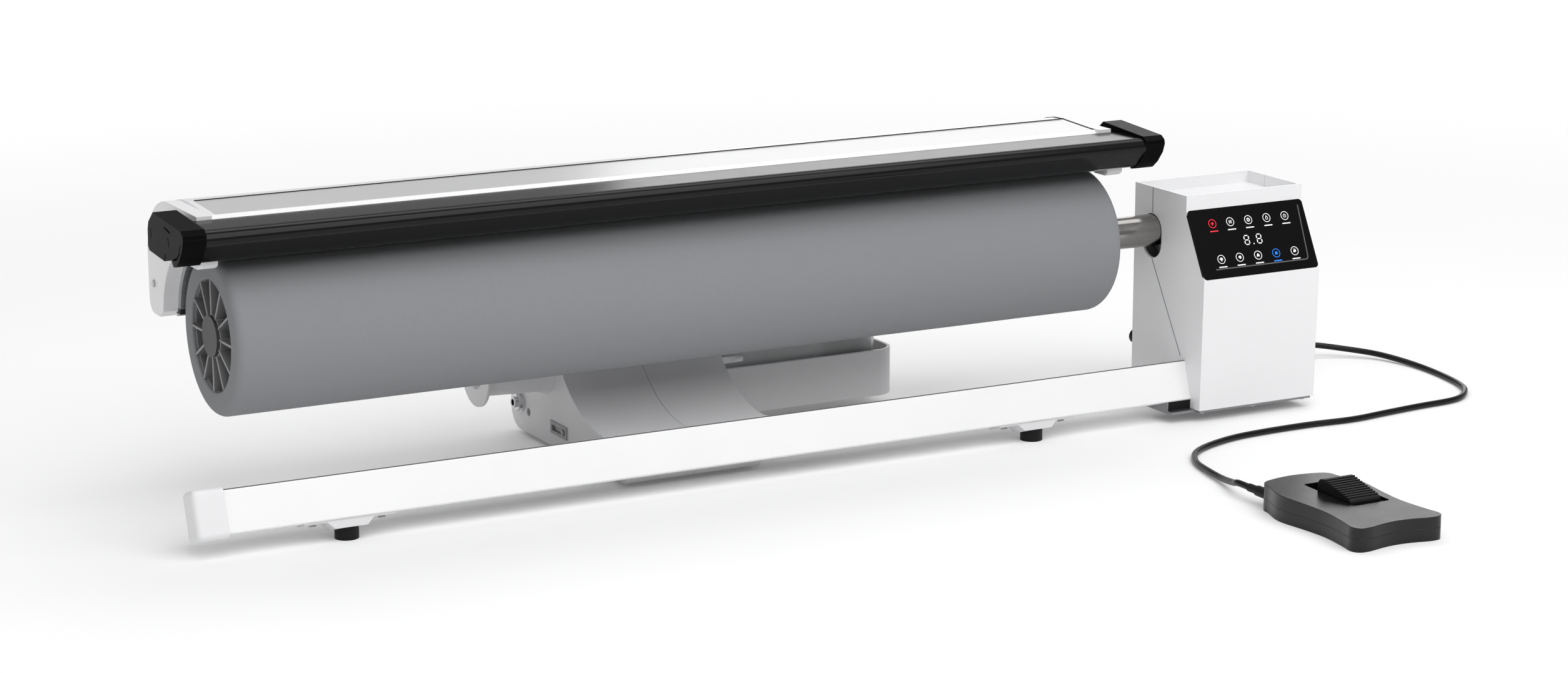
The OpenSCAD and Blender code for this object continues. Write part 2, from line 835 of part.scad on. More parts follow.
// Rear shell
module tower_rear_shell() {
  color("white")
    intersection() {
      tower_walls();
      translate([0, seam_gap, 0])
        rear_region();
    }
}
// Floor of the shallow shelf recess in the tower's top
module tower_shelf() {
  color("white")
    translate([tower_x + wall, -tower_front + wall, shelf_z - shelf_t])
      cube([tower_w - 2 * wall, tower_front + tower_back - 2 * wall, shelf_t]);
}
// Sheet plate that closes the tower's bottom and reaches under the beam
module tower_bottom_plate() {
  color("gainsboro") {
    translate([tower_x + plate_inset, -low_front + plate_inset, tower_low - plate_t])
      cube([tower_w - 2 * plate_inset, low_front + tower_back - 2 * plate_inset, plate_t]);
    translate([tower_x - tongue_len, -tongue_front, tower_low - plate_t])
      cube([tongue_len + plate_inset + over, tongue_front - tongue_back, plate_t]);
    along_x(tower_x - tongue_len, tongue_lip_t)
      wedge_outline();
  }
}
// Steel frame inside the tower: floor, upright, top plate and lift motor plate
module tower_frame() {
  left = tower_x + wall + frame_gap;
  right = tower_right - wall - frame_gap;
  floor_front = low_front - wall - frame_gap;
  color("darkgray")
    difference() {
      union() {
        translate([left, -floor_front, tower_low])
          cube([right - left, floor_front + frame_back, frame_t]);
        translate([right - frame_t, -frame_front, tower_low])
          cube([frame_t, frame_front + frame_back, frame_top_z - tower_low + frame_t]);
        translate([left, -frame_front, frame_top_z])
          cube([right - left, frame_front + frame_back, frame_t]);
        translate([lift_plate_x, rod_y - rod_r, tower_low])
          cube([frame_t, rod_r - rod_y + lift_plate_back, lift_z + motor_r - tower_low]);
      }
      translate([0, lift_y, lift_z])
        x_rod(lift_plate_x - over, frame_t + 2 * over, motor_hole_r);
      // Room for the beam's end
      on_beam()
        translate([left - over, -gap, -gap])
          cube([beam_right + gap - left + over, beam_d + 2 * gap, beam_h + 2 * gap]);
    }
}
// Two upright rods that guide the carriage
module guide_rods() {
  color("lightsteelblue")
    for (x = [rod_left_x, rod_right_x])
      translate([x, rod_y, tower_low + frame_t])
        cylinder(h = frame_top_z - tower_low - frame_t, r = rod_r);
}
// Geared motor that raises and lowers the carriage
module lift_motor() {
  face_x = lift_plate_x + frame_t;
  color("dimgray")
    translate([0, lift_y, lift_z]) {
      x_rod(face_x, lift_motor_len, lift_motor_r);
    }
}
// Small gear that drives the carriage's rack
module lift_pinion() {
  color("gold")
    translate([0, lift_y, lift_z]) {
      along_x(rack_x, rack_w)
        rotate(180)
          polygon(gear_outline(pinion_teeth, pinion_r, gear_module));
      x_rod(rack_x + rack_w - over, frame_t + over, motor_shaft_r);
    }
}
// Black glass touch panel
module control_panel() {
  color("black")
    on_slant()
      translate([0, 0, -glass_t])
        glass_plate(glass_t);
}
// Circuit board with the display block, on posts behind the panel
module control_board() {
  board_w = tower_w - 2 * board_margin;
  color("seagreen")
    on_slant()
      translate([board_margin, 0.15 * slant_len, -glass_t - wall - post_len - board_t])
        cube([board_w, 0.8 * slant_len, board_t]);
}
// Power board on posts before the back wall
module power_board() {
  face_y = tower_back - wall - power_post_len;
  color("seagreen") {
    translate([power_x, face_y - board_t, power_z])
      cube([power_w, board_t, power_h]);
    for (x = [power_x + 2 * post_r, power_x + power_w - 2 * post_r],
        z = [power_z + 2 * post_r, power_z + power_h - 2 * post_r])
      translate([x, tower_back - wall, z])
        rotate([90, 0, 0])
          cylinder(h = power_post_len + board_t / 2, r = post_r);
    translate([power_x + 3 * post_r, face_y - board_t - motor_r, power_z + 4 * post_r])
      cube([power_w / 3, motor_r + board_t / 2, power_h / 3]);
  }
}
// Rubber sleeve where the pedal's cable leaves the tower
module pedal_gland() {
  color("black")
    translate([gland_x, tower_back, gland_z])
      rotate([-90, 0, 0]) {
        translate([0, 0, -wall])
          cylinder(h = wall + over, r = gland_hole_r);
        cylinder(h = gland_flange_t, r = gland_flange_r);
        cylinder(h = gland_tail, r1 = gland_hole_r, r2 = cable_d / 2 + over);
      }
}
// Screwed gland for the mains lead
module mains_gland() {
  color("black")
    translate([mains_x, tower_back, mains_z])
      rotate([-90, 0, 0])
        difference() {
          union() {
            translate([0, 0, -wall])
              cylinder(h = wall + over, r = mains_r - over);
            cylinder(h = mains_out, r = mains_r);
          }
          translate([0, 0, -wall - over])
            cylinder(h = mains_out + wall + 2 * over, r = mains_bore_r);
        }
}
// Places a piece in the beam's own frame: Y through its depth, Z up its face
module on_beam() {
  translate([0, beam_y, beam_z])
    rotate([-beam_tilt, 0, 0])
      children();
}
// Leaning box-section beam from the free end into the tower
module beam() {
  color("white")
    on_beam()
      difference() {
        along_x(beam_left, beam_right - beam_left)
          translate([beam_d / 2, beam_h / 2])
            rounded_rect(beam_d, beam_h, beam_wall);
        along_x(beam_left - over, beam_right - beam_left + 2 * over)
          translate([beam_d / 2, beam_h / 2])
            square([beam_d - 2 * beam_wall, beam_h - 2 * beam_wall], center = true);
      }
}
// Soft-cornered cap on the beam's free end
module beam_end_cap() {
  low = -beam_cap_grow + beam_cap_r;
  color("whitesmoke")
    on_beam() {
      hull()
        for (x = [beam_left - beam_cap_len + beam_cap_r, beam_left - over],
          y = [low, beam_d - low], z = [low, beam_h - low])
          translate([x, y, z])
            if (x < beam_left - over)
              sphere(beam_cap_r, $fn = 24);
            else
              rotate([0, 90, 0])
                cylinder(h = over, r = beam_cap_r, $fn = 24);
    }
}
// Outline of the space between the tower's plate and the beam's leaning underside
module wedge_outline() {
  front = beam_y + over;
  back = beam_y + beam_d * cos(beam_tilt) - 2 * over;
  polygon([[front, tower_low], [front, beam_z - (front - beam_y) * tan(beam_tilt)],
    [back, beam_z - (back - beam_y) * tan(beam_tilt)], [back, tower_low]]);
}
// Black wedge that the beam rests on at the tower
module beam_wedge() {
  color("black")
    along_x(tower_x - tongue_len + tongue_lip_t, tongue_len - tongue_lip_t)
      wedge_outline();
}
// Pressed brackets, closed at the front, that hold the rubber feet under the beam
module foot_brackets() {
  top = bracket_top / 2;
  low = bracket_bottom / 2;
  end = top + bracket_tab;
  color("whitesmoke")
    on_beam()
      for (side = [-1, 1])
        translate([side * foot_x, (beam_d + bracket_w) / 2, 0])
          rotate([90, 0, 0]) {
            linear_extrude(bracket_w)
              polygon([[-end, 0], [-top + bracket_t, 0], [-low + bracket_t, bracket_t - bracket_h],
                [low - bracket_t, bracket_t - bracket_h], [top - bracket_t, 0], [end, 0],
                [end, -bracket_t], [top, -bracket_t], [low, -bracket_h],
                [-low, -bracket_h], [-top, -bracket_t], [-end, -bracket_t]]);
            translate([0, 0, bracket_w - bracket_t])
              linear_extrude(bracket_t)
                polygon([[-top, 0], [top, 0], [top, -bracket_t], [low, -bracket_h],
                  [-low, -bracket_h], [-top, -bracket_t]]);
          }
}
// Round rubber feet, cut to the brackets' leaning undersides
module rubber_feet() {
  color("black")
    for (side = [-1, 1])
      difference() {
        translate([side * foot_x, foot_y, 0])
          cylinder(h = beam_z, r = foot_r);
        on_beam()
          translate([side * foot_x - 2 * foot_r, -beam_d, -bracket_h])
            cube([4 * foot_r, 3 * beam_d, beam_h]);
      }
}
// Pan-head screws under the brackets, under the tower and in the cheeks
module case_screws() {
  color("silver") {
    on_beam()
      for (side = [-1, 1], tab = [-1, 1])
        translate([side * foot_x + tab * (bracket_top + bracket_tab) / 2, beam_d / 2, -bracket_t - screw_h])
          cylinder(h = screw_h, r = screw_r);
    for (x = [plate_inset + 2 * screw_r, tower_w / 2, tower_w - plate_inset - 2 * screw_r])
      translate([tower_x + x, -low_front + plate_inset + 2 * screw_r, tower_low - plate_t - screw_h])
        cylinder(h = screw_h, r = screw_r);
    for (side = [-1, 1])
      translate([0, cheek_screw_y, axis_h + cheek_screw_up])
        x_rod(side > 0 ? cheek_out : -cheek_out - screw_h, screw_h, screw_r);
  }
}

// Side outline of the base's housing before the cove is cut, drawn in (Y, Z)
module base_outline() {
  lip = [column_front, head_low_z];
  end = [cove_y, cove_z] + cove_r * [cos(cove_end_angle), sin(cove_end_angle)];
  polygon(concat(
    [[base_toe_y, base_z], [beam_back_y(seat_low_z), seat_low_z], [beam_back_y(cove_floor_z), cove_floor_z]],
    [[cove_y, cove_floor_z], [cove_y, cove_z], end + (end - lip) / 2],
    [lip, [column_front, column_top], [column_back, column_top],
      [column_shoulder_y, column_shoulder_z], [base_back, base_back_z]],
    arc([base_back - base_heel_r, base_z + base_heel_r], base_heel_r, 0, -90)));
}
// Hollow inside the base's walls
module base_inside() {
  polygon(concat(
    [[base_toe_y + base_wall, base_z - over], [base_toe_y + base_wall, seat_low_z],
      [cove_y, cove_floor_z - base_wall]],
    arc([cove_y, cove_z], cove_r + base_wall, -85, cove_end_angle - 2, 16),
    [[column_front + base_wall, head_low_z], [column_front + base_wall, column_top - base_wall],
      [column_back - base_wall, column_top - base_wall],
      [column_shoulder_y - base_wall, column_shoulder_z - base_wall],
      [base_back - base_wall, base_back_z],
      [base_back - base_wall, base_z + base_heel_r], [base_back - base_heel_r, base_z - over]]));
}
// Section of the cove's flared lips, drawn in (distance from the cove's axis, X)
module cove_section(inner_r) {
  flare = cove_half_w - base_half_w + over;
  polygon(concat([[inner_r, -cove_half_w], [inner_r, cove_half_w]],
    arc([cove_r + cove_lip_t + flare, cove_half_w], flare, 180, 270, 6),
    arc([cove_r + cove_lip_t + flare, -cove_half_w], flare, 90, 180, 6)));
}
// Whole housing of the base before it parts into two shells
module base_walls() {
  toe_y = beam_back_y(cove_floor_z) + gap;
  difference() {
    union() {
      along_x(-base_half_w, 2 * base_half_w)
        base_outline();
      translate([0, cove_y, cove_z])
        rotate([0, 90, 0])
          rotate_extrude(angle = 90 + cove_end_angle)
            cove_section(cove_r - 2 * over);
      translate([0, toe_y, cove_z])
        rotate([-90, 90, 0])
          linear_extrude(cove_y - toe_y)
            cove_section(cove_r);
      // Toe plate that widens towards the beam
      translate([0, 0, cove_floor_z - cove_lip_t])
        linear_extrude(cove_lip_t)
          for (side = [-1, 1])
            polygon(concat([[0, toe_y], [side * (cove_half_w + toe_flare), toe_y]],
              [for (p = arc([cove_half_w + toe_flare, toe_y + toe_flare], toe_flare, 270, 180, 8))
                [side * p[0], p[1]]],
              [[0, toe_y + toe_flare]]));
    }
    translate([0, cove_y, cove_z])
      x_rod(-cove_half_w - over, 2 * (cove_half_w + over), cove_r);
    along_x(-base_half_w + base_wall, 2 * (base_half_w - base_wall))
      base_inside();
    // Opening in the left wall for the rocker switch
    translate([-base_half_w - over, switch_y + switch_rim, switch_z + switch_rim])
      cube([base_wall + 2 * over, switch_len - 2 * switch_rim, switch_h - 2 * switch_rim]);
    // Small round hole beside the fitting
    translate([0, drain_y, drain_z])
      x_rod(-base_half_w - over, base_wall + 2 * over, drain_r);
    translate([0, fitting_y, fitting_z])
      x_rod(-base_half_w - over, base_wall + 2 * over, fitting_tube_r + gap);
    // Bottom opening and the holes for the head's bolts
    translate([0, 0, base_z - over])
      linear_extrude(base_wall + over)
        bottom_plan();
    head_bolts(bolt_r + gap);
  }
}
// Bolts that hold the press head on the column
module head_bolts(r) {
  for (x = [-1, 1], z = [bolt_low, bolt_high])
    translate([x * bolt_x, column_y + column_t, axis_h + z])
      rotate([90, 0, 0])
        cylinder(h = column_y + column_t - spine_y - spine_t, r = r);
}
// Left shell of the base
module base_left_shell() {
  color("lightgray")
    intersection() {
      base_walls();
      translate([-2 * cove_half_w, -cove_half_w, 0])
        cube([2 * cove_half_w - base_seam / 2, 2 * base_back, 2 * column_top]);
    }
}
// Right shell of the base
module base_right_shell() {
  color("lightgray")
    intersection() {
      base_walls();
      translate([base_seam / 2, -cove_half_w, 0])
        cube([2 * cove_half_w, 2 * base_back, 2 * column_top]);
    }
}
// Plan of the base's bottom plate and of the opening that it closes
module bottom_plan() {
  translate([-base_half_w + base_wall, base_toe_y + base_wall])
    square([2 * (base_half_w - base_wall), base_back - base_heel_r - base_toe_y - base_wall]);
}
// Steel plate that closes the base from below
module base_bottom() {
  color("gray")
    translate([0, 0, base_z])
      linear_extrude(base_wall)
        bottom_plan();
}
// Rubber pads under the base's front and back
module base_pads() {
  color("black")
    for (y = [0, rear_pad_y])
      translate([-base_half_w + pad_inset, y - pad_d / 2, 0])
        cube([2 * (base_half_w - pad_inset), pad_d, pad_t]);
}
// Steel channel inside the base with the bolts for the press head
module head_column() {
  low = base_z + base_wall;
  color("darkgray") {
    difference() {
      translate([-column_w / 2, column_y, low])
        cube([column_w, column_d, column_top - base_wall - low]);
      translate([-column_w / 2 + column_t, column_y + column_t, low + column_t])
        cube([column_w - 2 * column_t, column_d, column_top]);
    }
    head_bolts(bolt_r);
  }
}
// Round arm on the base's left side with its thin end disc and toothed core
module side_hub() {
  end_x = -base_half_w - hub_out;
  color("gainsboro")
    translate([0, hub_y, hub_z]) {
      x_turn()
        polygon(concat([[0, end_x], [disc_r, end_x], [disc_r, end_x + disc_t], [hub_tube_r, end_x + disc_t]],
          [[hub_root_r, -base_half_w - hub_root_r / 2]],
          arc([2 * hub_root_r, -base_half_w - hub_root_r / 2], hub_root_r, 180, hub_root_angle, 4),
          [[0, -base_half_w]]));
      x_rod(end_x - hub_tooth_h, hub_tooth_h + over, hub_core_r);
      for (i = [0 : hub_tooth_count - 1])
        rotate([i * 360 / hub_tooth_count, 0, 0])
          translate([end_x - hub_tooth_h, 0, -hub_tooth_t / 2])
            cube([hub_tooth_h + over, hub_tooth_r, hub_tooth_t]);
    }
}
// Threaded steam fitting with its hexagonal nut
module steam_fitting() {
  face_x = -base_half_w;
  color("silver")
    translate([0, fitting_y, fitting_z])
      difference() {
        union() {
          x_rod(face_x - fitting_flange_t, fitting_flange_t, fitting_flange_r);
          translate([face_x - fitting_flange_t - fitting_nut_t, 0, 0])
            rotate([0, 90, 0])
              cylinder(h = fitting_nut_t + over, r = fitting_nut_r, $fn = 6);
          x_rod(face_x - fitting_len, fitting_len + base_wall + over, fitting_tube_r);
        }
        x_rod(face_x - fitting_len - over, fitting_len + base_wall + 4 * over, fitting_bore_r);
      }
}
// Frame of the mains rocker switch
module switch_bezel() {
  color("darkslategray")
    difference() {
      union() {
        translate([-base_half_w - switch_proud, switch_y, switch_z])
          cube([switch_proud, switch_len, switch_h]);
        translate([-base_half_w - switch_proud, switch_y + switch_rim, switch_z + switch_rim])
          cube([switch_depth, switch_len - 2 * switch_rim, switch_h - 2 * switch_rim]);
      }
      translate([-base_half_w - switch_proud - over, switch_y + 2 * switch_rim, switch_z + 2 * switch_rim])
        cube([switch_depth - switch_rim, switch_len - 4 * switch_rim, switch_h - 4 * switch_rim]);
      translate([rocker_x, switch_y + switch_len / 2, switch_z + 3 * switch_rim / 2])
        cylinder(h = switch_h - 3 * switch_rim, r = rocker_pin_r + run_gap);
    }
}
// Rocker of the mains switch, tipped to its off side
module switch_rocker() {
  half = switch_len / 2 - 2 * switch_rim - gap - rocker_pin_r;
  rocker_h = switch_h - 4 * switch_rim - 2 * gap;
  color("dimgray")
    translate([rocker_x, switch_y + switch_len / 2, switch_z + switch_h / 2])
      rotate([0, 0, -rocker_tilt]) {
        linear_extrude(rocker_h, center = true)
          polygon([[0, -half], [-rocker_rise, -half], [-rocker_rise + rocker_pin_r, 0],
            [-rocker_rise, half], [0, half], [switch_rim, 0]]);
        cylinder(h = switch_h - 3 * switch_rim - 2 * gap, r = rocker_pin_r, center = true);
      }
}
// Pump that feeds the steam fitting, on its cradle inside the base
module water_pump() {
  low = base_z + base_wall;
  color("whitesmoke") {
    translate([0, pump_y, pump_cradle_z])
      x_rod(pump_x - pump_len / 2, pump_len, pump_r);
    translate([pump_x - pump_len / 4, pump_y - pump_r, low])
      cube([pump_len / 2, 2 * pump_r, pump_cradle_z - low]);
  }
}
// Plan outline of the tray, shrunk by a wall
module tray_plan(w) {
  left = w > 0 ? w : 0;
  r = tray_corner_r - w;
  polygon(concat([[left, w], [tray_len - w - r, w]],
    arc([tray_len - w - r, w + r], r, -90, 0), arc([tray_len - w - r, tray_d - w - r], r, 0, 90),
    [[left, tray_d - w]]));
}
// Open tray on the base's right side that holds the water tank
module tank_tray() {
  color("lightgray")
    translate([base_half_w, tray_y, tray_z])
      difference() {
        linear_extrude(tray_h)
          tray_plan(0);
        translate([0, 0, tray_wall])
          linear_extrude(tray_h)
            tray_plan(tray_wall);
      }
}
// Rounded plan of the tank, from its lower left corner
module tank_plan(w) {
  tank_len = tray_len - tank_left - tank_right_gap;
  translate([tank_len / 2, tank_d / 2])
    rounded_rect(tank_len - 2 * w, tank_d - 2 * w, tank_corner_r - w);
}
// Clear water tank
module water_tank() {
  color("lightcyan", 0.4)
    translate([base_half_w + tank_left, tray_y + tank_gap, tray_z + tray_wall])
      difference() {
        linear_extrude(tank_h)
          tank_plan(0);
        translate([0, 0, tank_wall])
          linear_extrude(tank_h - 2 * tank_wall)
            tank_plan(tank_wall);
        translate([tank_d / 2, tank_d / 2, tank_h - tank_wall - over])
          cylinder(h = tank_wall + 2 * over, r = tank_mouth_r);
      }
}
// Lid of the tank's filling mouth
module tank_lid() {
  color("gray")
    translate([base_half_w + tank_left + tank_d / 2, tray_y + tank_gap + tank_d / 2,
        tray_z + tray_wall + tank_h]) {
      cylinder(h = lid_t, r = lid_r);
      translate([0, 0, -tank_wall])
        cylinder(h = tank_wall + over, r = tank_mouth_r - gap);
      cylinder(h = lid_grip_h, r = lid_grip_r);
    }
}
// Dark filter block inside the tank
module tank_filter() {
  tank_len = tray_len - tank_left - tank_right_gap;
  color("darkslategray")
    translate([base_half_w + tank_left + tank_len - filter_w - tank_corner_r,
        tray_y + tank_gap + filter_y, tray_z + tray_wall + tank_wall])
      cube([filter_w, filter_d, filter_h]);
}
// Lug with a hole that reaches over the tray's rim and holds it down with a peg
module tank_lug() {
  tip = lug_len - lug_tip_r;
  color("whitesmoke") {
    translate([base_half_w, lug_y, lug_z])
      linear_extrude(lug_t)
        difference() {
          union() {
            polygon([[0, -lug_root / 2], [tip, -lug_tip_r], [tip, lug_tip_r], [0, lug_root / 2]]);
            translate([tip, 0])
              circle(lug_tip_r);
          }
          translate([tip, 0])
            circle(lug_hole_r);
        }
    translate([base_half_w + lug_peg_at, tray_y + tray_wall / 2, tray_z + tray_h])
      cylinder(h = lug_z + lug_t / 2 - tray_z - tray_h, r = lug_peg_r);
  }
}

// Straight heating rods, half sunk in the shoe's back
module heater_shapes() {
  on_axis()
    for (a = heater_angles)
      rotate([a, 0, 0])
        translate([0, heater_mid_r, 0])
          x_rod(-heater_half, 2 * heater_half, heater_r);
}
// Heated shoe that follows the roller, with ribs towards the spine
module shoe_plate() {
  root_r = shoe_out_r - over;
  color("silver")
    difference() {
      on_axis() {
        along_x(-head_half, 2 * head_half)
          polygon(concat(arc([0, 0], shoe_in_r, shoe_low_angle, shoe_top_angle, 32),
            arc([0, 0], shoe_out_r, shoe_top_angle, shoe_low_angle, 32)));
        for (x = shoe_rib_x)
          along_x(x - shoe_rib_t / 2, shoe_rib_t)
            polygon([root_r * [cos(shoe_rib_low), sin(shoe_rib_low)],
              [spine_y, root_r * sin(shoe_rib_low)], [spine_y, root_r * sin(shoe_rib_high)],
              root_r * [cos(shoe_rib_high), sin(shoe_rib_high)]]);
      }
      heater_shapes();
    }
}
// Dark seal along the shoe's lower edge
module shoe_seal() {
  color("black")
    on_axis()
      along_x(-head_half, 2 * head_half)
        polygon(concat(arc([0, 0], shoe_in_r, seal_angle, shoe_low_angle, 2),
          arc([0, 0], shoe_in_r + seal_t, shoe_low_angle, seal_angle, 2)));
}
// Three heating rods along the shoe
module heating_rods() {
  color("sienna")
    heater_shapes();
}
// Steel channel along the head that carries the shoe
module head_spine() {
  back = head_back - head_wall;
  color("darkgray")
    on_axis()
      along_x(-spine_half, 2 * spine_half)
        polygon([[spine_y, spine_low], [spine_y, spine_high], [back, spine_high],
          [back, spine_high - spine_t], [spine_y + spine_t, spine_high - spine_t],
          [spine_y + spine_t, spine_low + spine_t], [back, spine_low + spine_t], [back, spine_low]]);
}
// Plane of the head's top: X along the head, Y backwards, Z out of the face
module on_top() {
  front = head_back * cover_shares[2];
  step = head_back * cover_shares[3] - front;
  on_axis()
    translate([0, front[0], front[1]])
      rotate([atan2(step[1], step[0]), 0, 0])
        children();
}
// Glossy panel in the head's top, or the recess for it
module panel_slab(t) {
  flat = head_back * norm(cover_shares[3] - cover_shares[2]);
  translate([-head_half + panel_side, panel_margin, -panel_t])
    cube([2 * (head_half - panel_side), flat - 2 * panel_margin, t]);
}
// Outer housing of the press head
module head_cover() {
  outer = head_back * cover_shares;
  color("white")
    difference() {
      on_axis()
        along_x(-head_half, 2 * head_half)
          polygon(concat(outer, reversed(inset(outer, head_wall))));
      on_top()
        panel_slab(panel_t + over);
      head_bolts(bolt_r + gap);
    }
}
// Glossy panel on top of the head
module top_panel() {
  color("black")
    on_top()
      panel_slab(panel_t);
}
// Side cheeks that close the head's ends over the roller
module side_cheeks() {
  front = acos(head_back * cheek_shares[0][0] / shoe_out_r);
  color("whitesmoke")
    on_axis()
      for (x = [-cheek_out, head_half])
        along_x(x, cheek_t)
          polygon(concat(head_back * cheek_shares,
            arc([0, 0], shoe_out_r, cheek_lift, front, 24)));
}
// Outline of the front rail, drawn in (Y, Z) about the axis
function rail_outline() = concat(
  arc(head_back * rail_nose_share, rail_nose_r, rail_nose_angles[0], rail_nose_angles[1], 10),
  head_back * rail_shares);
// Hollow rail along the head's front
module front_rail() {
  groove = head_back * rail_nose_share;
  color("white")
    on_axis()
      difference() {
        along_x(-rail_half, 2 * rail_half)
          polygon(rail_outline());
        along_x(-rail_half - over, 2 * (rail_half + over))
          polygon(inset_loop(rail_outline(), -rail_wall));
        translate([-rail_half - over, groove[0], groove[1] + rail_nose_r - rail_groove])
          cube([2 * (rail_half + over), rail_groove, 2 * rail_groove]);
      }
}
// A narrow groove between two points of the cap's face
module cap_slot(p, q) {
  translate([-rail_half - rail_cap_len - over, p[0], p[1]])
    rotate([atan2(q[1] - p[1], q[0] - p[0]), 0, 0])
      translate([0, -slot_w / 2, -slot_w / 2])
        cube([slot_depth + over, norm(q - p) + slot_w, slot_w]);
}
// Dark end caps of the front rail
module rail_caps() {
  color("darkslategray")
    on_axis()
      difference() {
        for (side = [-1, 1]) {
          along_x(side > 0 ? rail_half : -rail_half - rail_cap_len, rail_cap_len)
            polygon(head_back * rail_cap_shares);
          along_x(side > 0 ? cheek_out : -rail_half - over, rail_half + over - cheek_out)
            polygon(head_back * plug_shares);
        }
        for (s = cap_slot_shares)
          cap_slot(head_back * s[0], head_back * s[1]);
        for (i = [0 : len(cap_slit_shares) - 2])
          cap_slot(head_back * cap_slit_shares[i], head_back * cap_slit_shares[i + 1]);
      }
}

// Plan outline of the pedal
function pedal_plan() = smooth_loop([for (s = pedal_shares) [s[0] * pedal_w, s[1] * pedal_len]], 3);
// Pedal's own frame: Y from its back edge, Z up from the floor
module on_pedal() {
  translate([pedal_x, -pedal_y, 0])
    children();
}
// Room above the pedal's sloping top, lowered by t
module pedal_sky(t) {
  along_x(-pedal_w, 2 * pedal_w)
    polygon([[pedal_len, pedal_h - t], [pedal_len, 2 * pedal_h], [-2 * pedal_len, 2 * pedal_h],
      [-2 * pedal_len, pedal_h - t - 2 * pedal_fall], [-pedal_len, pedal_h - t - pedal_fall],
      [0, pedal_h - t]]);
}
// Block of the well's size, grown by t
module well_block(t, low, high) {
  translate([well_left + well_w / 2, -well_back - well_len / 2, low])
    linear_extrude(high - low)
      rounded_rect(well_w + 2 * t, well_len + 2 * t, well_corner_r + t);
}
// Strain relief's stem, or the hole for it
module relief_stem(len, r) {
  translate([-relief_left, -relief_back, relief_z])
    rotate([-90, 0, 0])
      cylinder(h = len, r = r);
}
// Upper shell of the pedal with the well for the treadle
module pedal_top() {
  hinge_z = split_h + hinge_up;
  color("gray")
    on_pedal()
      difference() {
        union() {
          difference() {
            translate([0, 0, split_h])
              linear_extrude(pedal_h)
                polygon(pedal_plan());
            translate([0, 0, split_h - over])
              linear_extrude(pedal_h)
                difference() {
                  polygon(inset_loop(pedal_plan(), pedal_wall));
                  translate([well_left + well_w / 2, -well_back - well_len / 2])
                    rounded_rect(well_w + 2 * pedal_wall, well_len + 2 * pedal_wall,
                      well_corner_r + pedal_wall);
                }
          }
          intersection() {
            translate([0, 0, split_h])
              linear_extrude(pedal_h)
                polygon(pedal_plan());
            pedal_sky(pedal_wall);
          }
        }
        pedal_sky(0);
        well_block(0, split_h + well_floor_t, 2 * pedal_h);
        translate([well_left - treadle_pin_len, -treadle_back - treadle_len + hinge_r, hinge_z])
          x_rod(0, well_w + 2 * treadle_pin_len, treadle_pin_r + run_gap);
        translate([0, -micro_y, split_h - over])
          cylinder(h = well_floor_t + 2 * over, r = 2 * micro_button_r);
        relief_stem(relief_len, relief_r);
      }
}
// Lower shell of the pedal
module pedal_bottom() {
  color("dimgray")
    on_pedal()
      difference() {
        linear_extrude(split_h)
          polygon(pedal_plan());
        translate([0, 0, pedal_wall])
          linear_extrude(split_h)
            polygon(inset_loop(pedal_plan(), pedal_wall));
        relief_stem(relief_len, relief_r);
      }
}
// Ribbed treadle that tips about the pin at its low front end
module pedal_treadle() {
  floor_z = split_h;
  front = -treadle_back - treadle_len;
  hinge_y = front + hinge_r;
  left = well_left + treadle_side;
  ridge = [-treadle_back - treadle_ridge, floor_z + treadle_high];
  foot = [front + hinge_r, floor_z + treadle_front_h];
  slope = atan2(ridge[1] - foot[1], ridge[0] - foot[0]);
  inward = [sin(slope), -cos(slope)];
  pitch = norm(ridge - foot) / treadle_rib_count;
  color("darkslategray")
    on_pedal() {
      along_x(left, treadle_w)
        polygon(concat([[-treadle_back, floor_z + treadle_low]],
          arc(ridge + treadle_top_r * inward, treadle_top_r, 0, 90 + slope),
          arc(foot + treadle_nose_r * inward, treadle_nose_r, 90 + slope, 180),
          [[front + over, floor_z + treadle_lift], [hinge_y + hinge_r, floor_z + treadle_lift]]));
      translate([0, hinge_y, floor_z + hinge_up])
        x_rod(well_left - treadle_pin_len + gap, well_w + 2 * (treadle_pin_len - gap), treadle_pin_r);
      for (i = [1 : treadle_rib_count])
        translate([left, foot[0], foot[1]])
          rotate([slope, 0, 0])
            translate([0, (i - 0.5) * pitch - treadle_rib_w / 2, -treadle_rib_h])
              cube([treadle_w, treadle_rib_w, 2 * treadle_rib_h]);
    }
}
// Small switch under the treadle
module pedal_switch() {
  body_top = pedal_wall + micro_h;
  button_top = split_h + well_floor_t + micro_button_r;
  color("darkgray")
    on_pedal() {
      translate([-micro_w / 2, -micro_y - micro_d / 2, pedal_wall])
        cube([micro_w, micro_d, micro_h]);
      translate([0, -micro_y, body_top - over])
        cylinder(h = button_top - body_top + over, r = micro_button_r);
    }
}
// Stepped rubber strain relief where the cable enters the pedal
module pedal_strain_relief() {
  color("black")
    on_pedal() {
      relief_stem(relief_len, relief_r);
      translate([0, relief_len - over, 0])
        relief_stem(relief_tip_len + over, relief_tip_r);
    }
}
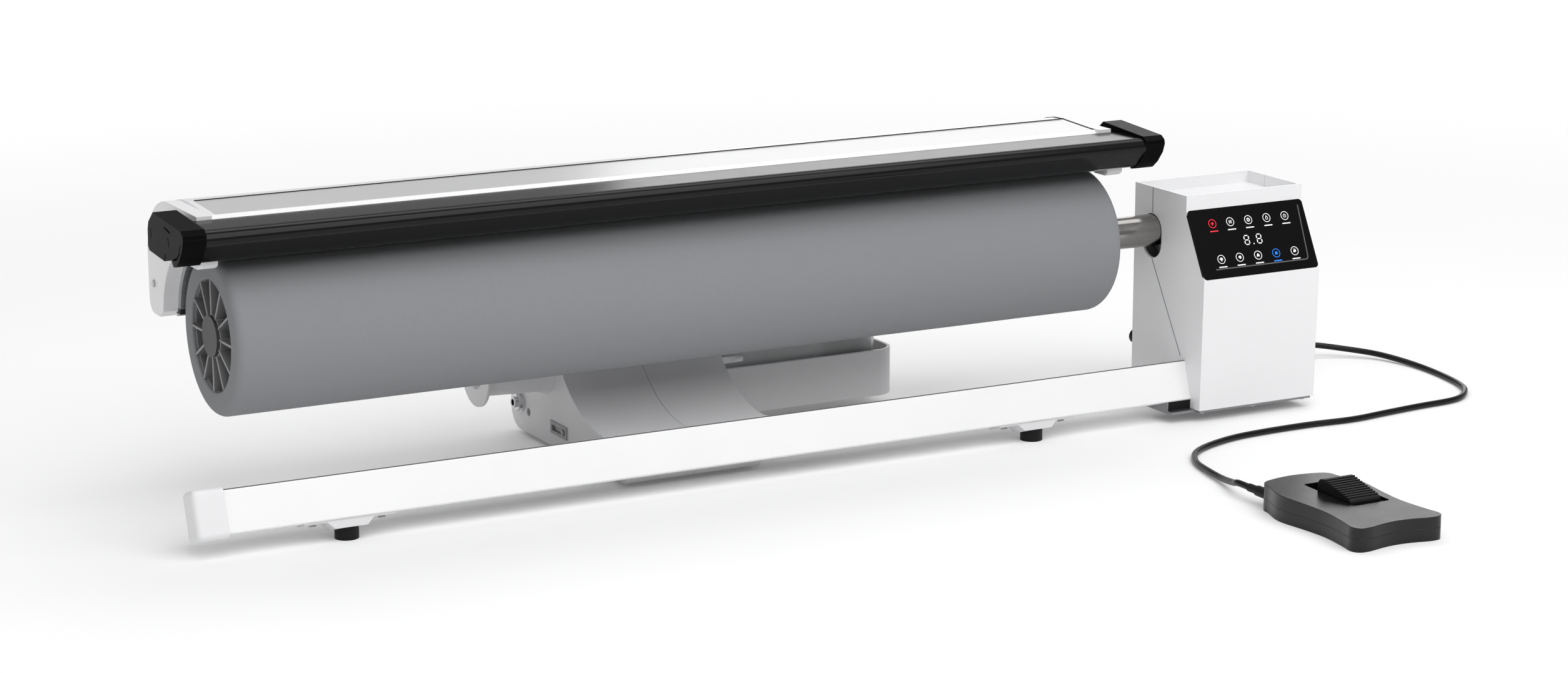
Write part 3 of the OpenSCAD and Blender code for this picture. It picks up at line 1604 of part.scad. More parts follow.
// Cable between the tower and the pedal
module pedal_cable() {
  path = smooth_path(cable_route, cable_steps);
  n = len(path) - 1;
  rings = [for (i = [0 : n])
    let (t = towards(path[max(i - 1, 0)], path[min(i + 1, n)]),
      side = cross(t, [0, 0, 1]) / norm(cross(t, [0, 0, 1])), up = cross(side, t))
    for (k = [0 : cable_sides - 1])
      path[i] + cable_d / 2 * (cos(k * 360 / cable_sides) * side + sin(k * 360 / cable_sides) * up)];
  color("dimgray")
    polyhedron(points = rings, faces = concat(
      [[for (k = [0 : cable_sides - 1]) k]],
      [for (i = [0 : n - 1], k = [0 : cable_sides - 1])
        [i * cable_sides + k, (i + 1) * cable_sides + k, (i + 1) * cable_sides + (k + 1) % cable_sides,
          i * cable_sides + (k + 1) % cable_sides]],
      [[for (k = [cable_sides - 1 : -1 : 0]) n * cable_sides + k]]));
}

roller_cover();
roller_drum();
spoked_hub();
hub_cap();
drive_hub();
roller_shaft();
drive_gear();
lift_carriage();
shaft_bearings();
drive_motor();
drive_pinion();
tower_front_shell();
tower_rear_shell();
tower_shelf();
tower_bottom_plate();
tower_frame();
guide_rods();
lift_motor();
lift_pinion();
control_panel();
control_board();
power_board();
case_screws();
pedal_gland();
mains_gland();
beam();
beam_end_cap();
beam_wedge();
foot_brackets();
rubber_feet();
base_left_shell();
base_right_shell();
base_bottom();
base_pads();
head_column();
side_hub();
steam_fitting();
switch_bezel();
switch_rocker();
water_pump();
tank_tray();
water_tank();
tank_lid();
tank_filter();
tank_lug();
shoe_plate();
shoe_seal();
heating_rods();
head_spine();
head_cover();
top_panel();
side_cheeks();
front_rail();
rail_caps();
pedal_top();
pedal_bottom();
pedal_treadle();
pedal_switch();
pedal_strain_relief();
pedal_cable();
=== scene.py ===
"""Looks of the flatwork ironer: camera, cable, materials, cloth cover, trim, panel signs, floor and light.

Lengths are metres in the CAD's frame, except where a comment says millimetres. The scale of a texture
is roughly its number of features per metre.
"""
import json
import math

import bpy
from mathutils import Matrix, Vector, noise


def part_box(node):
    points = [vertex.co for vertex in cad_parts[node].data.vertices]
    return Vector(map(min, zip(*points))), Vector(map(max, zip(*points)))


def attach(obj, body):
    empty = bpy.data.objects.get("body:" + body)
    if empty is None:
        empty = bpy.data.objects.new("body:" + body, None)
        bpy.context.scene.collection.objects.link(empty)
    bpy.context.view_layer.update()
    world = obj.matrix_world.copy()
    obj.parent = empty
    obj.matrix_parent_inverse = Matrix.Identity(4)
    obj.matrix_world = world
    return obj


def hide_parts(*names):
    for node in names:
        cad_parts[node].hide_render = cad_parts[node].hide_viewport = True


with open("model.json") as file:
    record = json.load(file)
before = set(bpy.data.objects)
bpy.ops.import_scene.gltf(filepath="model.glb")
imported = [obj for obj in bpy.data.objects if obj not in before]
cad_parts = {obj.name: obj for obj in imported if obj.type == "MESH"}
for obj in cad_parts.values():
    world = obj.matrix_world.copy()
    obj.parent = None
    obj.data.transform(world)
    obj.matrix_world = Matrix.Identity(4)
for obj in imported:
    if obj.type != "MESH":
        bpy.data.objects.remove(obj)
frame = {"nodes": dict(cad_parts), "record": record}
scene = bpy.context.scene
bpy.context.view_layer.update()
MM = 0.001


# Camera
CAMERA_AT = Vector((-1.36219, -2.70754, 0.8203))
CAMERA_YAW = math.radians(28.512)
CAMERA_PITCH = math.radians(12.988)
CAMERA_ROLL = math.radians(-0.052)
LENS = 81.46
SENSOR = 36
SEES_TO = 60


def add_camera():
    data = bpy.data.cameras.new("photo_camera")
    data.lens = LENS
    data.sensor_width = SENSOR
    data.sensor_fit = "HORIZONTAL"
    data.clip_end = SEES_TO
    obj = bpy.data.objects.new("photo_camera", data)
    scene.collection.objects.link(obj)
    turn = Matrix.Rotation(-CAMERA_YAW, 4, "Z") @ Matrix.Rotation(math.pi / 2 - CAMERA_PITCH, 4, "X")
    obj.matrix_world = Matrix.Translation(CAMERA_AT) @ turn @ Matrix.Rotation(CAMERA_ROLL, 4, "Z")
    scene.camera = obj


add_camera()


# Helpers for pieces. The faces of a box run over its low four points and then its high four.
BOX_FACES = ((3, 2, 1, 0), (4, 5, 6, 7), (0, 1, 5, 4), (1, 2, 6, 5), (2, 3, 7, 6), (3, 0, 4, 7))


def add_object(name, data, body):
    obj = bpy.data.objects.new(name, data)
    scene.collection.objects.link(obj)
    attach(obj, body)
    return obj


def mesh_from(name, points, faces, smooth=True):
    mesh = bpy.data.meshes.new(name)
    mesh.from_pydata(points, [], faces)
    if smooth:
        mesh.shade_smooth()
    mesh.update()
    return mesh


def smooth_route(points, steps):
    """Catmull-Rom points through the given ones, with the ends kept."""
    last = len(points) - 1
    out = []
    for i in range(last):
        a, b = points[max(i - 1, 0)], points[i]
        c, d = points[i + 1], points[min(i + 2, last)]
        for k in range(steps):
            t = k / steps
            out.append(b + (c - a) * t / 2 + (2 * a - 5 * b + 4 * c - d) * t * t / 2
                       + (3 * b - a - 3 * c + d) * t ** 3 / 2)
    return out + [points[last]]


def tube(name, points, radius, sides):
    """Closed tube along the points, with its rings turned as little as the bends allow."""
    rings, last = [], len(points) - 1
    side = Vector((0, 0, 1))
    for i, p in enumerate(points):
        run = (points[min(i + 1, last)] - points[max(i - 1, 0)]).normalized()
        side = (side - run * side.dot(run)).normalized()
        across = run.cross(side)
        for k in range(sides):
            a = 2 * math.pi * k / sides
            rings.append(p + (side * math.cos(a) + across * math.sin(a)) * radius)
    faces = []
    for i in range(last):
        for k in range(sides):
            a, b = i * sides + k, i * sides + (k + 1) % sides
            faces.append((a, b, b + sides, a + sides))
    faces.append(tuple(range(sides - 1, -1, -1)))
    faces.append(tuple(last * sides + k for k in range(sides)))
    return mesh_from(name, rings, faces)


# The pedal's cable, with the points of part.scad's route in millimetres
CABLE_D = 0.0058
CABLE_ROUTE = [
    (604, 37.3, 36), (604, 52, 36), (612, 70, 33), (634, 84, 28), (664, 92, 24), (700, 96, 19),
    (735, 90, 15), (761, 80, 12), (782, 68, 9), (805, 44, 6), (815, 11, 4), (816, -28, 3),
    (809, -71, 3), (801, -97, 3), (792, -112, 3), (775, -128, 3), (754, -136, 3), (715, -139, 3),
    (672, -144, 3), (630, -149, 3), (582, -146, 3), (532, -147, 3), (491, -152, 3),
    (452, -166, 3), (428, -183, 3), (412, -209, 3), (403, -240, 4), (397, -268, 5),
    (389, -296, 9), (385.5, -308, 12), (385.5, -324.2, 12)]
CABLE_STEPS = 6
CABLE_SIDES = 16


def add_cable():
    points = smooth_route([Vector(p) * MM for p in CABLE_ROUTE], CABLE_STEPS)
    mesh = tube("pedal_cord", points, CABLE_D / 2, CABLE_SIDES)
    obj = add_object("pedal_cord", mesh, "frame")
    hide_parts("pedal_cable")
    return obj


cable = add_cable()


# Helpers for materials
SRGB_TOE = 0.04045
SRGB_TOE_SLOPE = 12.92
SRGB_LIFT = 0.055
SRGB_POWER = 2.4
MIX_FACTOR, MIX_A, MIX_B, MIX_COLOUR = 0, 6, 7, 2


def feed(tree, socket, value):
    """Sets a socket to a value, or links it where the value is an output socket."""
    if isinstance(value, bpy.types.NodeSocket):
        tree.links.new(value, socket)
    else:
        socket.default_value = value


def node(tree, kind, **inputs):
    """A node with its settings and its named inputs; an input's name has _ for a space."""
    made = tree.nodes.new(kind)
    for key, value in inputs.items():
        if hasattr(made, key) and key not in made.inputs:
            setattr(made, key, value)
        else:
            feed(tree, made.inputs[key.replace("_", " ")], value)
    return made


def calculate(tree, operation, *values):
    """Result of a Math node."""
    made = node(tree, "ShaderNodeMath", operation=operation)
    for socket, value in zip(made.inputs, values):
        feed(tree, socket, value)
    return made.outputs[0]


def measure(tree, operation, a, b):
    """The number that a Vector Math node makes of two vectors."""
    made = node(tree, "ShaderNodeVectorMath", operation=operation)
    feed(tree, made.inputs[0], a)
    feed(tree, made.inputs[1], b)
    return made.outputs["Value"]


def mix_colour(tree, factor, a, b):
    made = node(tree, "ShaderNodeMix", data_type="RGBA")
    for index, value in ((MIX_FACTOR, factor), (MIX_A, a), (MIX_B, b)):
        feed(tree, made.inputs[index], value)
    return made.outputs[MIX_COLOUR]


def scaled(tree, value, low=0.0, high=1.0, from_low=0.0, from_high=1.0):
    """Maps from_low..from_high to low..high, and holds the result between these."""
    made = node(tree, "ShaderNodeMapRange", Value=value, From_Min=from_low, From_Max=from_high,
                To_Min=low, To_Max=high)
    return made.outputs["Result"]


def linear(level):
    """Linear light of a value from 0 to 1 as a picture holds it."""
    if level <= SRGB_TOE:
        return level / SRGB_TOE_SLOPE
    return ((level + SRGB_LIFT) / (1 + SRGB_LIFT)) ** SRGB_POWER


def shade(colour, factor=1.0):
    """Colour for a socket, with its light times factor."""
    return tuple(min(1, linear(c) * factor) for c in colour) + (1,)


def lighter(colour, step):
    return tuple(min(1, c + step) for c in colour)


# Texture settings that the materials share
NOISE_ROUGH = 0.55
NOISE_DETAIL = 3.0
FINE_DETAIL = 2.0
RICH_DETAIL = 4.0
EDGE_SAMPLES = 4
EDGE_COSINE = 0.86  # cosine of the bend at which an edge is fully lightened


class Finish:
    """A material with a coordinate, a Principled shader and a chain of bumps."""

    def __init__(self, name):
        self.material = bpy.data.materials.new(name)
        self.material.use_nodes = True
        self.tree = self.material.node_tree
        self.shader = self.tree.nodes["Principled BSDF"]
        self.place = self.tree.nodes.new("ShaderNodeTexCoord").outputs["Object"]
        self.normal = None

    def noise(self, scale, detail=NOISE_DETAIL, stretch=None):
        place = self.place
        if stretch:
            place = node(self.tree, "ShaderNodeMapping", Vector=place, Scale=stretch).outputs["Vector"]
        made = node(self.tree, "ShaderNodeTexNoise", Vector=place, Scale=scale, Detail=detail,
                    Roughness=NOISE_ROUGH)
        return made.outputs["Fac"]

    def mix(self, factor, a, b):
        return mix_colour(self.tree, factor, a, b)

    def mottled(self, colour, clouds, spread):
        """The colour in soft clouds, darker and lighter by the spread."""
        return self.mix(self.noise(clouds), shade(colour, 1 - spread), shade(colour, 1 + spread))

    def scaled(self, value, low, high):
        return scaled(self.tree, value, low, high)

    def bump(self, height, strength, depth):
        made = node(self.tree, "ShaderNodeBump", Height=height, Strength=strength, Distance=depth)
        if self.normal:
            self.tree.links.new(self.normal, made.inputs["Normal"])
        self.normal = made.outputs["Normal"]
        self.link(self.normal, "Normal")

    def edges(self, radius):
        """Rounds the edges, and gives 0 on flats and up to 1 at edges; plastic and rubber lighten their
        colour there, as rubbed wear and, on plastics, also as a painted edge highlight.
        """
        rounded = node(self.tree, "ShaderNodeBevel", samples=EDGE_SAMPLES, Radius=radius)
        self.normal = rounded.outputs["Normal"]
        flat = self.tree.nodes.new("ShaderNodeNewGeometry").outputs["Normal"]
        bend = measure(self.tree, "DOT_PRODUCT", self.normal, flat)
        return scaled(self.tree, bend, from_low=1.0, from_high=EDGE_COSINE)

    def link(self, value, socket):
        self.tree.links.new(value, self.shader.inputs[socket])

    def set(self, **values):
        for key, value in values.items():
            self.shader.inputs[key.replace("_", " ")].default_value = value


# Plastic and paint
PLASTIC_CLOUDS = 14
PLASTIC_SHEEN = 60
PLASTIC_MOTTLE = 0.03
PLASTIC_SPREAD = 0.05
COAT_ROUGH = 0.12


def plastic(name, colour, rough, grain=1400, grain_depth=0.00006, grain_strength=0.35, edge=0.0005,
            edge_wear_and_highlight=0.12, edge_lift=0.12, coat=0.0, shine=0.5):
    """Moulded or painted surface: fine grain, faint mottling and lighter edges, partly rubbed wear and
    partly a painted edge highlight.
    """
    f = Finish(name)
    # the edge mask lightens the colour at edges: rubbed wear plus a painted highlight where edges catch
    # light
    lighter_edges = f.scaled(f.edges(edge), 0, edge_wear_and_highlight)
    base = f.mottled(colour, PLASTIC_CLOUDS, PLASTIC_MOTTLE)
    f.link(f.mix(lighter_edges, base, shade(lighter(colour, edge_lift))), "Base Color")
    sheen = f.noise(PLASTIC_SHEEN, RICH_DETAIL)
    f.link(f.scaled(sheen, rough - PLASTIC_SPREAD, rough + PLASTIC_SPREAD), "Roughness")
    f.bump(f.noise(grain, FINE_DETAIL), grain_strength, grain_depth)
    f.set(Coat_Weight=coat, Coat_Roughness=COAT_ROUGH, Specular_IOR_Level=shine)
    return f.material


# Metal
METAL_EDGE = 0.0004
METAL_CLOUDS = 25
METAL_TINT = 0.06
STREAKS = 900
STREAK_DEPTH = 0.00003
STREAK_STRENGTH = 0.4
STREAK_SHARE = 0.4
STREAK_DARK = 0.8
STREAK_SMOOTHER = 0.07
STREAK_ROUGHER = 0.09


def metal(name, colour, rough, stretch):
    """Turned, drawn or brushed metal: lines along one direction, with the sheen broken by them."""
    f = Finish(name)
    f.edges(METAL_EDGE)
    streaks = f.noise(STREAKS, RICH_DETAIL, stretch)
    base = f.mottled(colour, METAL_CLOUDS, METAL_TINT)
    f.link(f.mix(f.scaled(streaks, 0, STREAK_SHARE), base, shade(colour, STREAK_DARK)), "Base Color")
    f.link(f.scaled(streaks, rough - STREAK_SMOOTHER, rough + STREAK_ROUGHER), "Roughness")
    f.bump(streaks, STREAK_STRENGTH, STREAK_DEPTH)
    f.set(Metallic=1.0)
    return f.material


# Rubber
RUBBER_EDGE = 0.0004
RUBBER_DUST = 45
DUST_DETAIL = 5.0
DUST_SHARE = 0.5
DUST_LIGHTER = 0.06
RUBBER_RUB = 0.1
RUBBER_WEAR = 0.25
RUBBER_SPREAD = 0.08
RUBBER_SKIN = 2200
SKIN_STRENGTH = 0.3
SKIN_DEPTH = 0.00005


def rubber(name, colour, rough=0.55, shine=0.5):
    """Soft black moulding: dull, with a fine skin and faint patches of dust."""
    f = Finish(name)
    lighter_edges = f.scaled(f.edges(RUBBER_EDGE), 0, RUBBER_WEAR)
    dust = f.noise(RUBBER_DUST, DUST_DETAIL)
    base = f.mix(f.scaled(dust, 0, DUST_SHARE), shade(colour), shade(lighter(colour, DUST_LIGHTER)))
    f.link(f.mix(lighter_edges, base, shade(lighter(colour, RUBBER_RUB))), "Base Color")
    f.link(f.scaled(dust, rough - RUBBER_SPREAD, rough + RUBBER_SPREAD), "Roughness")
    f.bump(f.noise(RUBBER_SKIN, FINE_DETAIL), SKIN_STRENGTH, SKIN_DEPTH)
    f.set(Specular_IOR_Level=shine)
    return f.material


# Clear plastic of the tank
FLOW_MARKS = 35
FLOW_STRETCH = (1, 1, 0.3)
FLOW_LIGHT = 1.05
FLOW_STRENGTH = 0.1
FLOW_DEPTH = 0.0002
SCUFFS = 160
CLEAR_ROUGH = (0.06, 0.18)
CLEAR_SHARE = 0.72
CLEAR_IOR = 1.46


def clear_plastic(name, colour):
    """Clear moulded tank: a faint tint, flow marks and scuffs."""
    f = Finish(name)
    flow = f.noise(FLOW_MARKS, stretch=FLOW_STRETCH)
    f.link(f.mix(flow, shade(colour), shade(colour, FLOW_LIGHT)), "Base Color")
    f.link(f.scaled(f.noise(SCUFFS, RICH_DETAIL), *CLEAR_ROUGH), "Roughness")
    f.bump(flow, FLOW_STRENGTH, FLOW_DEPTH)
    f.set(Transmission_Weight=CLEAR_SHARE, IOR=CLEAR_IOR)
    return f.material


# Cotton of the roller's cover
THREAD_PITCHES = (("X", 0.0011), ("Y", 0.0009))
WEAVE_TONES = (0.9, 1.1)
WEAVE_STRENGTH = 0.35
WEAVE_DEPTH = 0.0002
SLUBS = 300
SLUB_SHARE = 0.35
SLUB_LIGHT = 1.18
CLOTH_CLOUDS = 9
CLOUD_SHARE = 0.3
CLOUD_DARK = 0.93
CLOTH_ROUGH = (0.78, 0.95)
NAP = 1800
NAP_STRENGTH = 0.25
NAP_DEPTH = 0.0001
CLOTH_SHEEN = 0.03
SHEEN_ROUGH = 0.5
CLOTH_SHINE = 0.1


def cloth(name, colour):
    """Woven cotton pulled tight: crossing threads, slubs and a soft nap."""
    f = Finish(name)
    uv = f.tree.nodes.new("ShaderNodeTexCoord").outputs["UV"]
    split = node(f.tree, "ShaderNodeSeparateXYZ", Vector=uv)
    threads = []
    for axis, pitch in THREAD_PITCHES:
        turn = calculate(f.tree, "MULTIPLY", split.outputs[axis], 2 * math.pi / pitch)
        threads.append(calculate(f.tree, "SINE", turn))
    weave = scaled(f.tree, calculate(f.tree, "MULTIPLY", *threads), from_low=-1.0)
    woven = f.mix(weave, *(shade(colour, tone) for tone in WEAVE_TONES))
    slub = f.noise(SLUBS, RICH_DETAIL)
    tone = f.mix(f.scaled(slub, 0, SLUB_SHARE), woven, shade(colour, SLUB_LIGHT))
    cloud = f.scaled(f.noise(CLOTH_CLOUDS), 0, CLOUD_SHARE)
    f.link(f.mix(cloud, tone, shade(colour, CLOUD_DARK)), "Base Color")
    f.link(f.scaled(slub, *CLOTH_ROUGH), "Roughness")
    f.bump(weave, WEAVE_STRENGTH, WEAVE_DEPTH)
    f.bump(f.noise(NAP), NAP_STRENGTH, NAP_DEPTH)
    f.set(Sheen_Weight=CLOTH_SHEEN, Sheen_Roughness=SHEEN_ROUGH, Specular_IOR_Level=CLOTH_SHINE)
    return f.material


# Circuit board
BOARD_GREENS = ((0.05, 0.3, 0.16), (0.07, 0.36, 0.2))
BOARD_FIELD = (0.06, 0.33, 0.18)
BOARD_TRACK = (0.62, 0.52, 0.22)
TRACK_SCALE = 90
TRACK_WIDE = 0.012
TRACK_STRENGTH = 0.3
TRACK_DEPTH = 0.00005
BOARD_CLOUDS = 30
BOARD_SHEEN = 80
BOARD_ROUGH = (0.3, 0.45)


def board(name):
    """Green circuit board with a faint net of tracks under its varnish."""
    f = Finish(name)
    green = f.mix(f.noise(BOARD_CLOUDS), *(shade(c) for c in BOARD_GREENS))
    tracks = node(f.tree, "ShaderNodeTexBrick", Vector=f.place, Scale=TRACK_SCALE, Color1=green,
                  Color2=shade(BOARD_FIELD), Mortar=shade(BOARD_TRACK), Mortar_Size=TRACK_WIDE)
    f.link(tracks.outputs["Color"], "Base Color")
    f.link(f.scaled(f.noise(BOARD_SHEEN), *BOARD_ROUGH), "Roughness")
    f.bump(tracks.outputs["Fac"], TRACK_STRENGTH, TRACK_DEPTH)
    return f.material


# The materials of the record's slots, apart from the cloth's, and of three nodes that differ from their
# slot. The three numbers after metal's roughness stretch its lines.
ALONG_X = (0.02, 1, 1)
ALONG_Z = (1, 1, 0.02)
MATERIALS = {
    "drum_metal": metal("drum_metal", (0.62, 0.62, 0.63), 0.35, ALONG_X),
    # hub ribs: edges made much lighter, a painted highlight on the ribs
    "hub_plastic": plastic("hub_plastic", (0.47, 0.47, 0.475), 0.34, edge=0.001, edge_wear_and_highlight=1.0, edge_lift=0.36),
    # hub cap: lighter rim, a painted edge highlight
    "cap_plastic": plastic("cap_plastic", (0.24, 0.24, 0.25), 0.5, edge_wear_and_highlight=0.6, edge_lift=0.3),
    "shaft_steel": metal("shaft_steel", (0.62, 0.61, 0.60), 0.16, (1, 0.05, 0.05)),
    "nylon": plastic("nylon", (0.88, 0.87, 0.84), 0.45),
    "carriage_metal": metal("carriage_metal", (0.55, 0.56, 0.58), 0.42, ALONG_Z),
    "motor_metal": metal("motor_metal", (0.40, 0.41, 0.42), 0.4, (0.05, 1, 1)),
    "pinion_brass": metal("pinion_brass", (0.75, 0.6, 0.32), 0.3, ALONG_X),
    # tower: lighter edges, a painted edge highlight
    "tower_white": plastic("tower_white", (0.925, 0.925, 0.93), 0.38, grain=900, edge=0.0008, edge_wear_and_highlight=0.4),
    "frame_steel": metal("frame_steel", (0.6, 0.6, 0.61), 0.4, ALONG_Z),
    "panel_black": plastic("panel_black", (0.05, 0.05, 0.052), 0.16, grain=500, grain_strength=0.04,
                           edge_wear_and_highlight=0.3, shine=0.12),
    "circuit_board": board("circuit_board"),
    "screw_steel": metal("screw_steel", (0.75, 0.75, 0.75), 0.28, (0.3, 0.3, 1)),
    "rubber_black": rubber("rubber_black", (0.05, 0.05, 0.052), 0.5, 0.2),
    "beam_white": plastic("beam_white", (0.95, 0.95, 0.952), 0.3, grain=700, coat=0.15),
    "cap_white": plastic("cap_white", (0.90, 0.90, 0.905), 0.42),
    # base and tray: lighter rims, a painted edge highlight
    "base_grey": plastic("base_grey", (0.88, 0.88, 0.885), 0.45, grain=1000, edge=0.001, edge_wear_and_highlight=0.5),
    "fitting_metal": metal("fitting_metal", (0.82, 0.82, 0.83), 0.15, (0.1, 1, 1)),
    "switch_dark": plastic("switch_dark", (0.62, 0.62, 0.625), 0.35),
    "pump_plastic": plastic("pump_plastic", (0.86, 0.86, 0.85), 0.45),
    "tank_clear": clear_plastic("tank_clear", (0.94, 0.945, 0.945)),
    "lid_grey": plastic("lid_grey", (0.42, 0.43, 0.44), 0.45),
    "filter_dark": plastic("filter_dark", (0.2, 0.21, 0.22), 0.7, grain=500, grain_depth=0.0002),
    "shoe_metal": metal("shoe_metal", (0.75, 0.755, 0.76), 0.25, ALONG_X),
    "seal_black": rubber("seal_black", (0.06, 0.06, 0.062)),
    "element_steel": metal("element_steel", (0.42, 0.36, 0.32), 0.4, ALONG_X),
    "head_white": plastic("head_white", (0.94, 0.94, 0.945), 0.3, grain=700, coat=0.2),
    "cheek_white": plastic("cheek_white", (0.91, 0.91, 0.915), 0.4),
    # rail caps: lighter edges, a painted edge highlight
    "rail_cap_dark": plastic("rail_cap_dark", (0.045, 0.045, 0.047), 0.3, edge=0.0007, edge_wear_and_highlight=0.5, edge_lift=0.2,
                             shine=0.02),
    "pedal_grey": plastic("pedal_grey", (0.04, 0.04, 0.042), 0.26, grain=1100, grain_depth=0.00008,
                          edge=0.0012, edge_wear_and_highlight=0.08, shine=0.4),
    "treadle_dark": plastic("treadle_dark", (0.08, 0.08, 0.082), 0.4, grain=1300, grain_depth=0.0001,
                            edge_wear_and_highlight=0.1, shine=0.2),
    "cable_grey": rubber("cable_grey", (0.035, 0.035, 0.037), 0.26, 0.25),
}
OWN_MATERIAL = {
    "front_rail": plastic("rail_black", (0.06, 0.06, 0.062), 0.16, grain=1200, grain_strength=0.08,
                          edge_wear_and_highlight=0.1, shine=0.2),
    "top_panel": plastic("panel_satin", (0.78, 0.78, 0.785), 0.2, grain=600, grain_strength=0.06,
                         edge_wear_and_highlight=0.1, shine=0.7),
    # foot brackets: lighter edges, a painted edge highlight
    "foot_brackets": plastic("bracket_white", (0.85, 0.85, 0.855), 0.35, grain=900, edge=0.0006, edge_wear_and_highlight=0.4),
}
SMOOTH_BELOW = math.radians(28)
SAME_POINT = 0.00001
FLATS_WEIGHT = 80


def smoothing_group():
    """Geometry nodes that weld a CAD mesh's points and shade it smooth across its slight bends."""
    group = bpy.data.node_groups.new("smooth_slight_bends", "GeometryNodeTree")
    group.interface.new_socket("Geometry", in_out="INPUT", socket_type="NodeSocketGeometry")
    group.interface.new_socket("Geometry", in_out="OUTPUT", socket_type="NodeSocketGeometry")
    start = group.nodes.new("NodeGroupInput")
    plain = node(group, "GeometryNodeRemoveAttribute", Geometry=start.outputs[0], Name="custom_normal")
    weld = node(group, "GeometryNodeMergeByDistance", Geometry=plain.outputs[0], Distance=SAME_POINT)
    faces = node(group, "GeometryNodeSetShadeSmooth", domain="FACE", Geometry=weld.outputs[0])
    bend = group.nodes.new("GeometryNodeInputMeshEdgeAngle")
    slight = node(group, "FunctionNodeCompare", operation="LESS_THAN", A=bend.outputs["Unsigned Angle"],
                  B=SMOOTH_BELOW)
    edges = node(group, "GeometryNodeSetShadeSmooth", domain="EDGE", Geometry=faces.outputs[0],
                 Shade_Smooth=slight.outputs["Result"])
    end = group.nodes.new("NodeGroupOutput")
    group.links.new(edges.outputs[0], end.inputs[0])
    return group


def dress_nodes():
    """Gives each CAD node its material and smooth shading, and leaves its mesh as it is."""
    smoothing = smoothing_group()
    slot_of = {part["node"]: part["material_slot"] for part in frame["record"]["subparts"]}
    for name, obj in frame["nodes"].items():
        material = OWN_MATERIAL.get(name) or MATERIALS.get(slot_of[name])
        if material:
            obj.data.materials.clear()
            obj.data.materials.append(material)
        obj.modifiers.new("smooth", "NODES").node_group = smoothing
        flats = obj.modifiers.new("flats", "WEIGHTED_NORMAL")
        flats.mode = "FACE_AREA"
        flats.weight = FLATS_WEIGHT
        flats.keep_sharp = True


dress_nodes()
cable.data.materials.append(MATERIALS["cable_grey"])


# The roller's padded cover
ROLLER_AXIS = 0.169
ROLLER_R = 0.067
ROLLER_HALF = 0.425
FACE_R = 0.047  # the opening in each end
EDGE_R = 0.0075  # rounding between the side and an end
LIP_R = 0.0018  # rounding between an end and its opening
LIP_DEEP = 0.006
LIP_FLARE = 0.0005
LIP_STEPS = 6
END_STEPS = 8
EDGE_STEPS = 12
SIDE_STEPS = 60
AROUND = 384
GATHERS = 64
GATHER_FADE = 0.85  # the share of the gathers that fades from the opening to the edge
GATHER_EDGE = 0.12
GATHER_DEEP = 0.00022
GATHER_WANDER = 2.2
GATHER_SCALE = 3
SWELL = 0.00018
SWELL_ALONG = 9
SWELL_ROUND = 1.6
CREASE = 0.00006
CREASE_ALONG = 55
CREASE_ROUND = 7
CLOTH_TONE = (0.53, 0.535, 0.545)


def cover_profile():
    """(distance along the roller, radius, how far the gathers show) from one opening to the other."""
    half = [(ROLLER_HALF - LIP_DEEP, FACE_R + LIP_FLARE, 1.0), (ROLLER_HALF - LIP_R, FACE_R, 1.0)]
    for k in range(1, LIP_STEPS + 1):
        a = math.pi / 2 * k / LIP_STEPS
        half.append((ROLLER_HALF - LIP_R + LIP_R * math.sin(a), FACE_R + LIP_R - LIP_R * math.cos(a), 1.0))
    flat_out = ROLLER_R - EDGE_R
    for k in range(1, END_STEPS + 1):
        share = k / END_STEPS
        radius = FACE_R + LIP_R + (flat_out - FACE_R - LIP_R) * share
        half.append((ROLLER_HALF, radius, 1 - share * GATHER_FADE))
    for k in range(1, EDGE_STEPS + 1):
        a = math.pi / 2 * k / EDGE_STEPS
        half.append((ROLLER_HALF - EDGE_R + EDGE_R * math.cos(a), flat_out + EDGE_R * math.sin(a),
                     GATHER_EDGE * (1 - k / EDGE_STEPS)))
    for k in range(1, SIDE_STEPS + 1):
        half.append(((ROLLER_HALF - EDGE_R) * (1 - k / SIDE_STEPS), ROLLER_R, 0.0))
    return [(-x, r, g) for x, r, g in half] + [(x, r, g) for x, r, g in reversed(half[:-1])]


def cover_offset(x, angle, gather):
    """How far the padding stands off its even radius, and how far a gather folds it."""
    c, s = math.cos(angle), math.sin(angle)
    soft = noise.noise(Vector((x * SWELL_ALONG, c * SWELL_ROUND, s * SWELL_ROUND)))
    fine = noise.noise(Vector((x * CREASE_ALONG, c * CREASE_ROUND, s * CREASE_ROUND)))
    wander = GATHER_WANDER * noise.noise(Vector((c * GATHER_SCALE, s * GATHER_SCALE, x)))
    fold = math.sin(GATHERS * angle + wander)
    return SWELL * soft + CREASE * fine, gather * GATHER_DEEP * fold


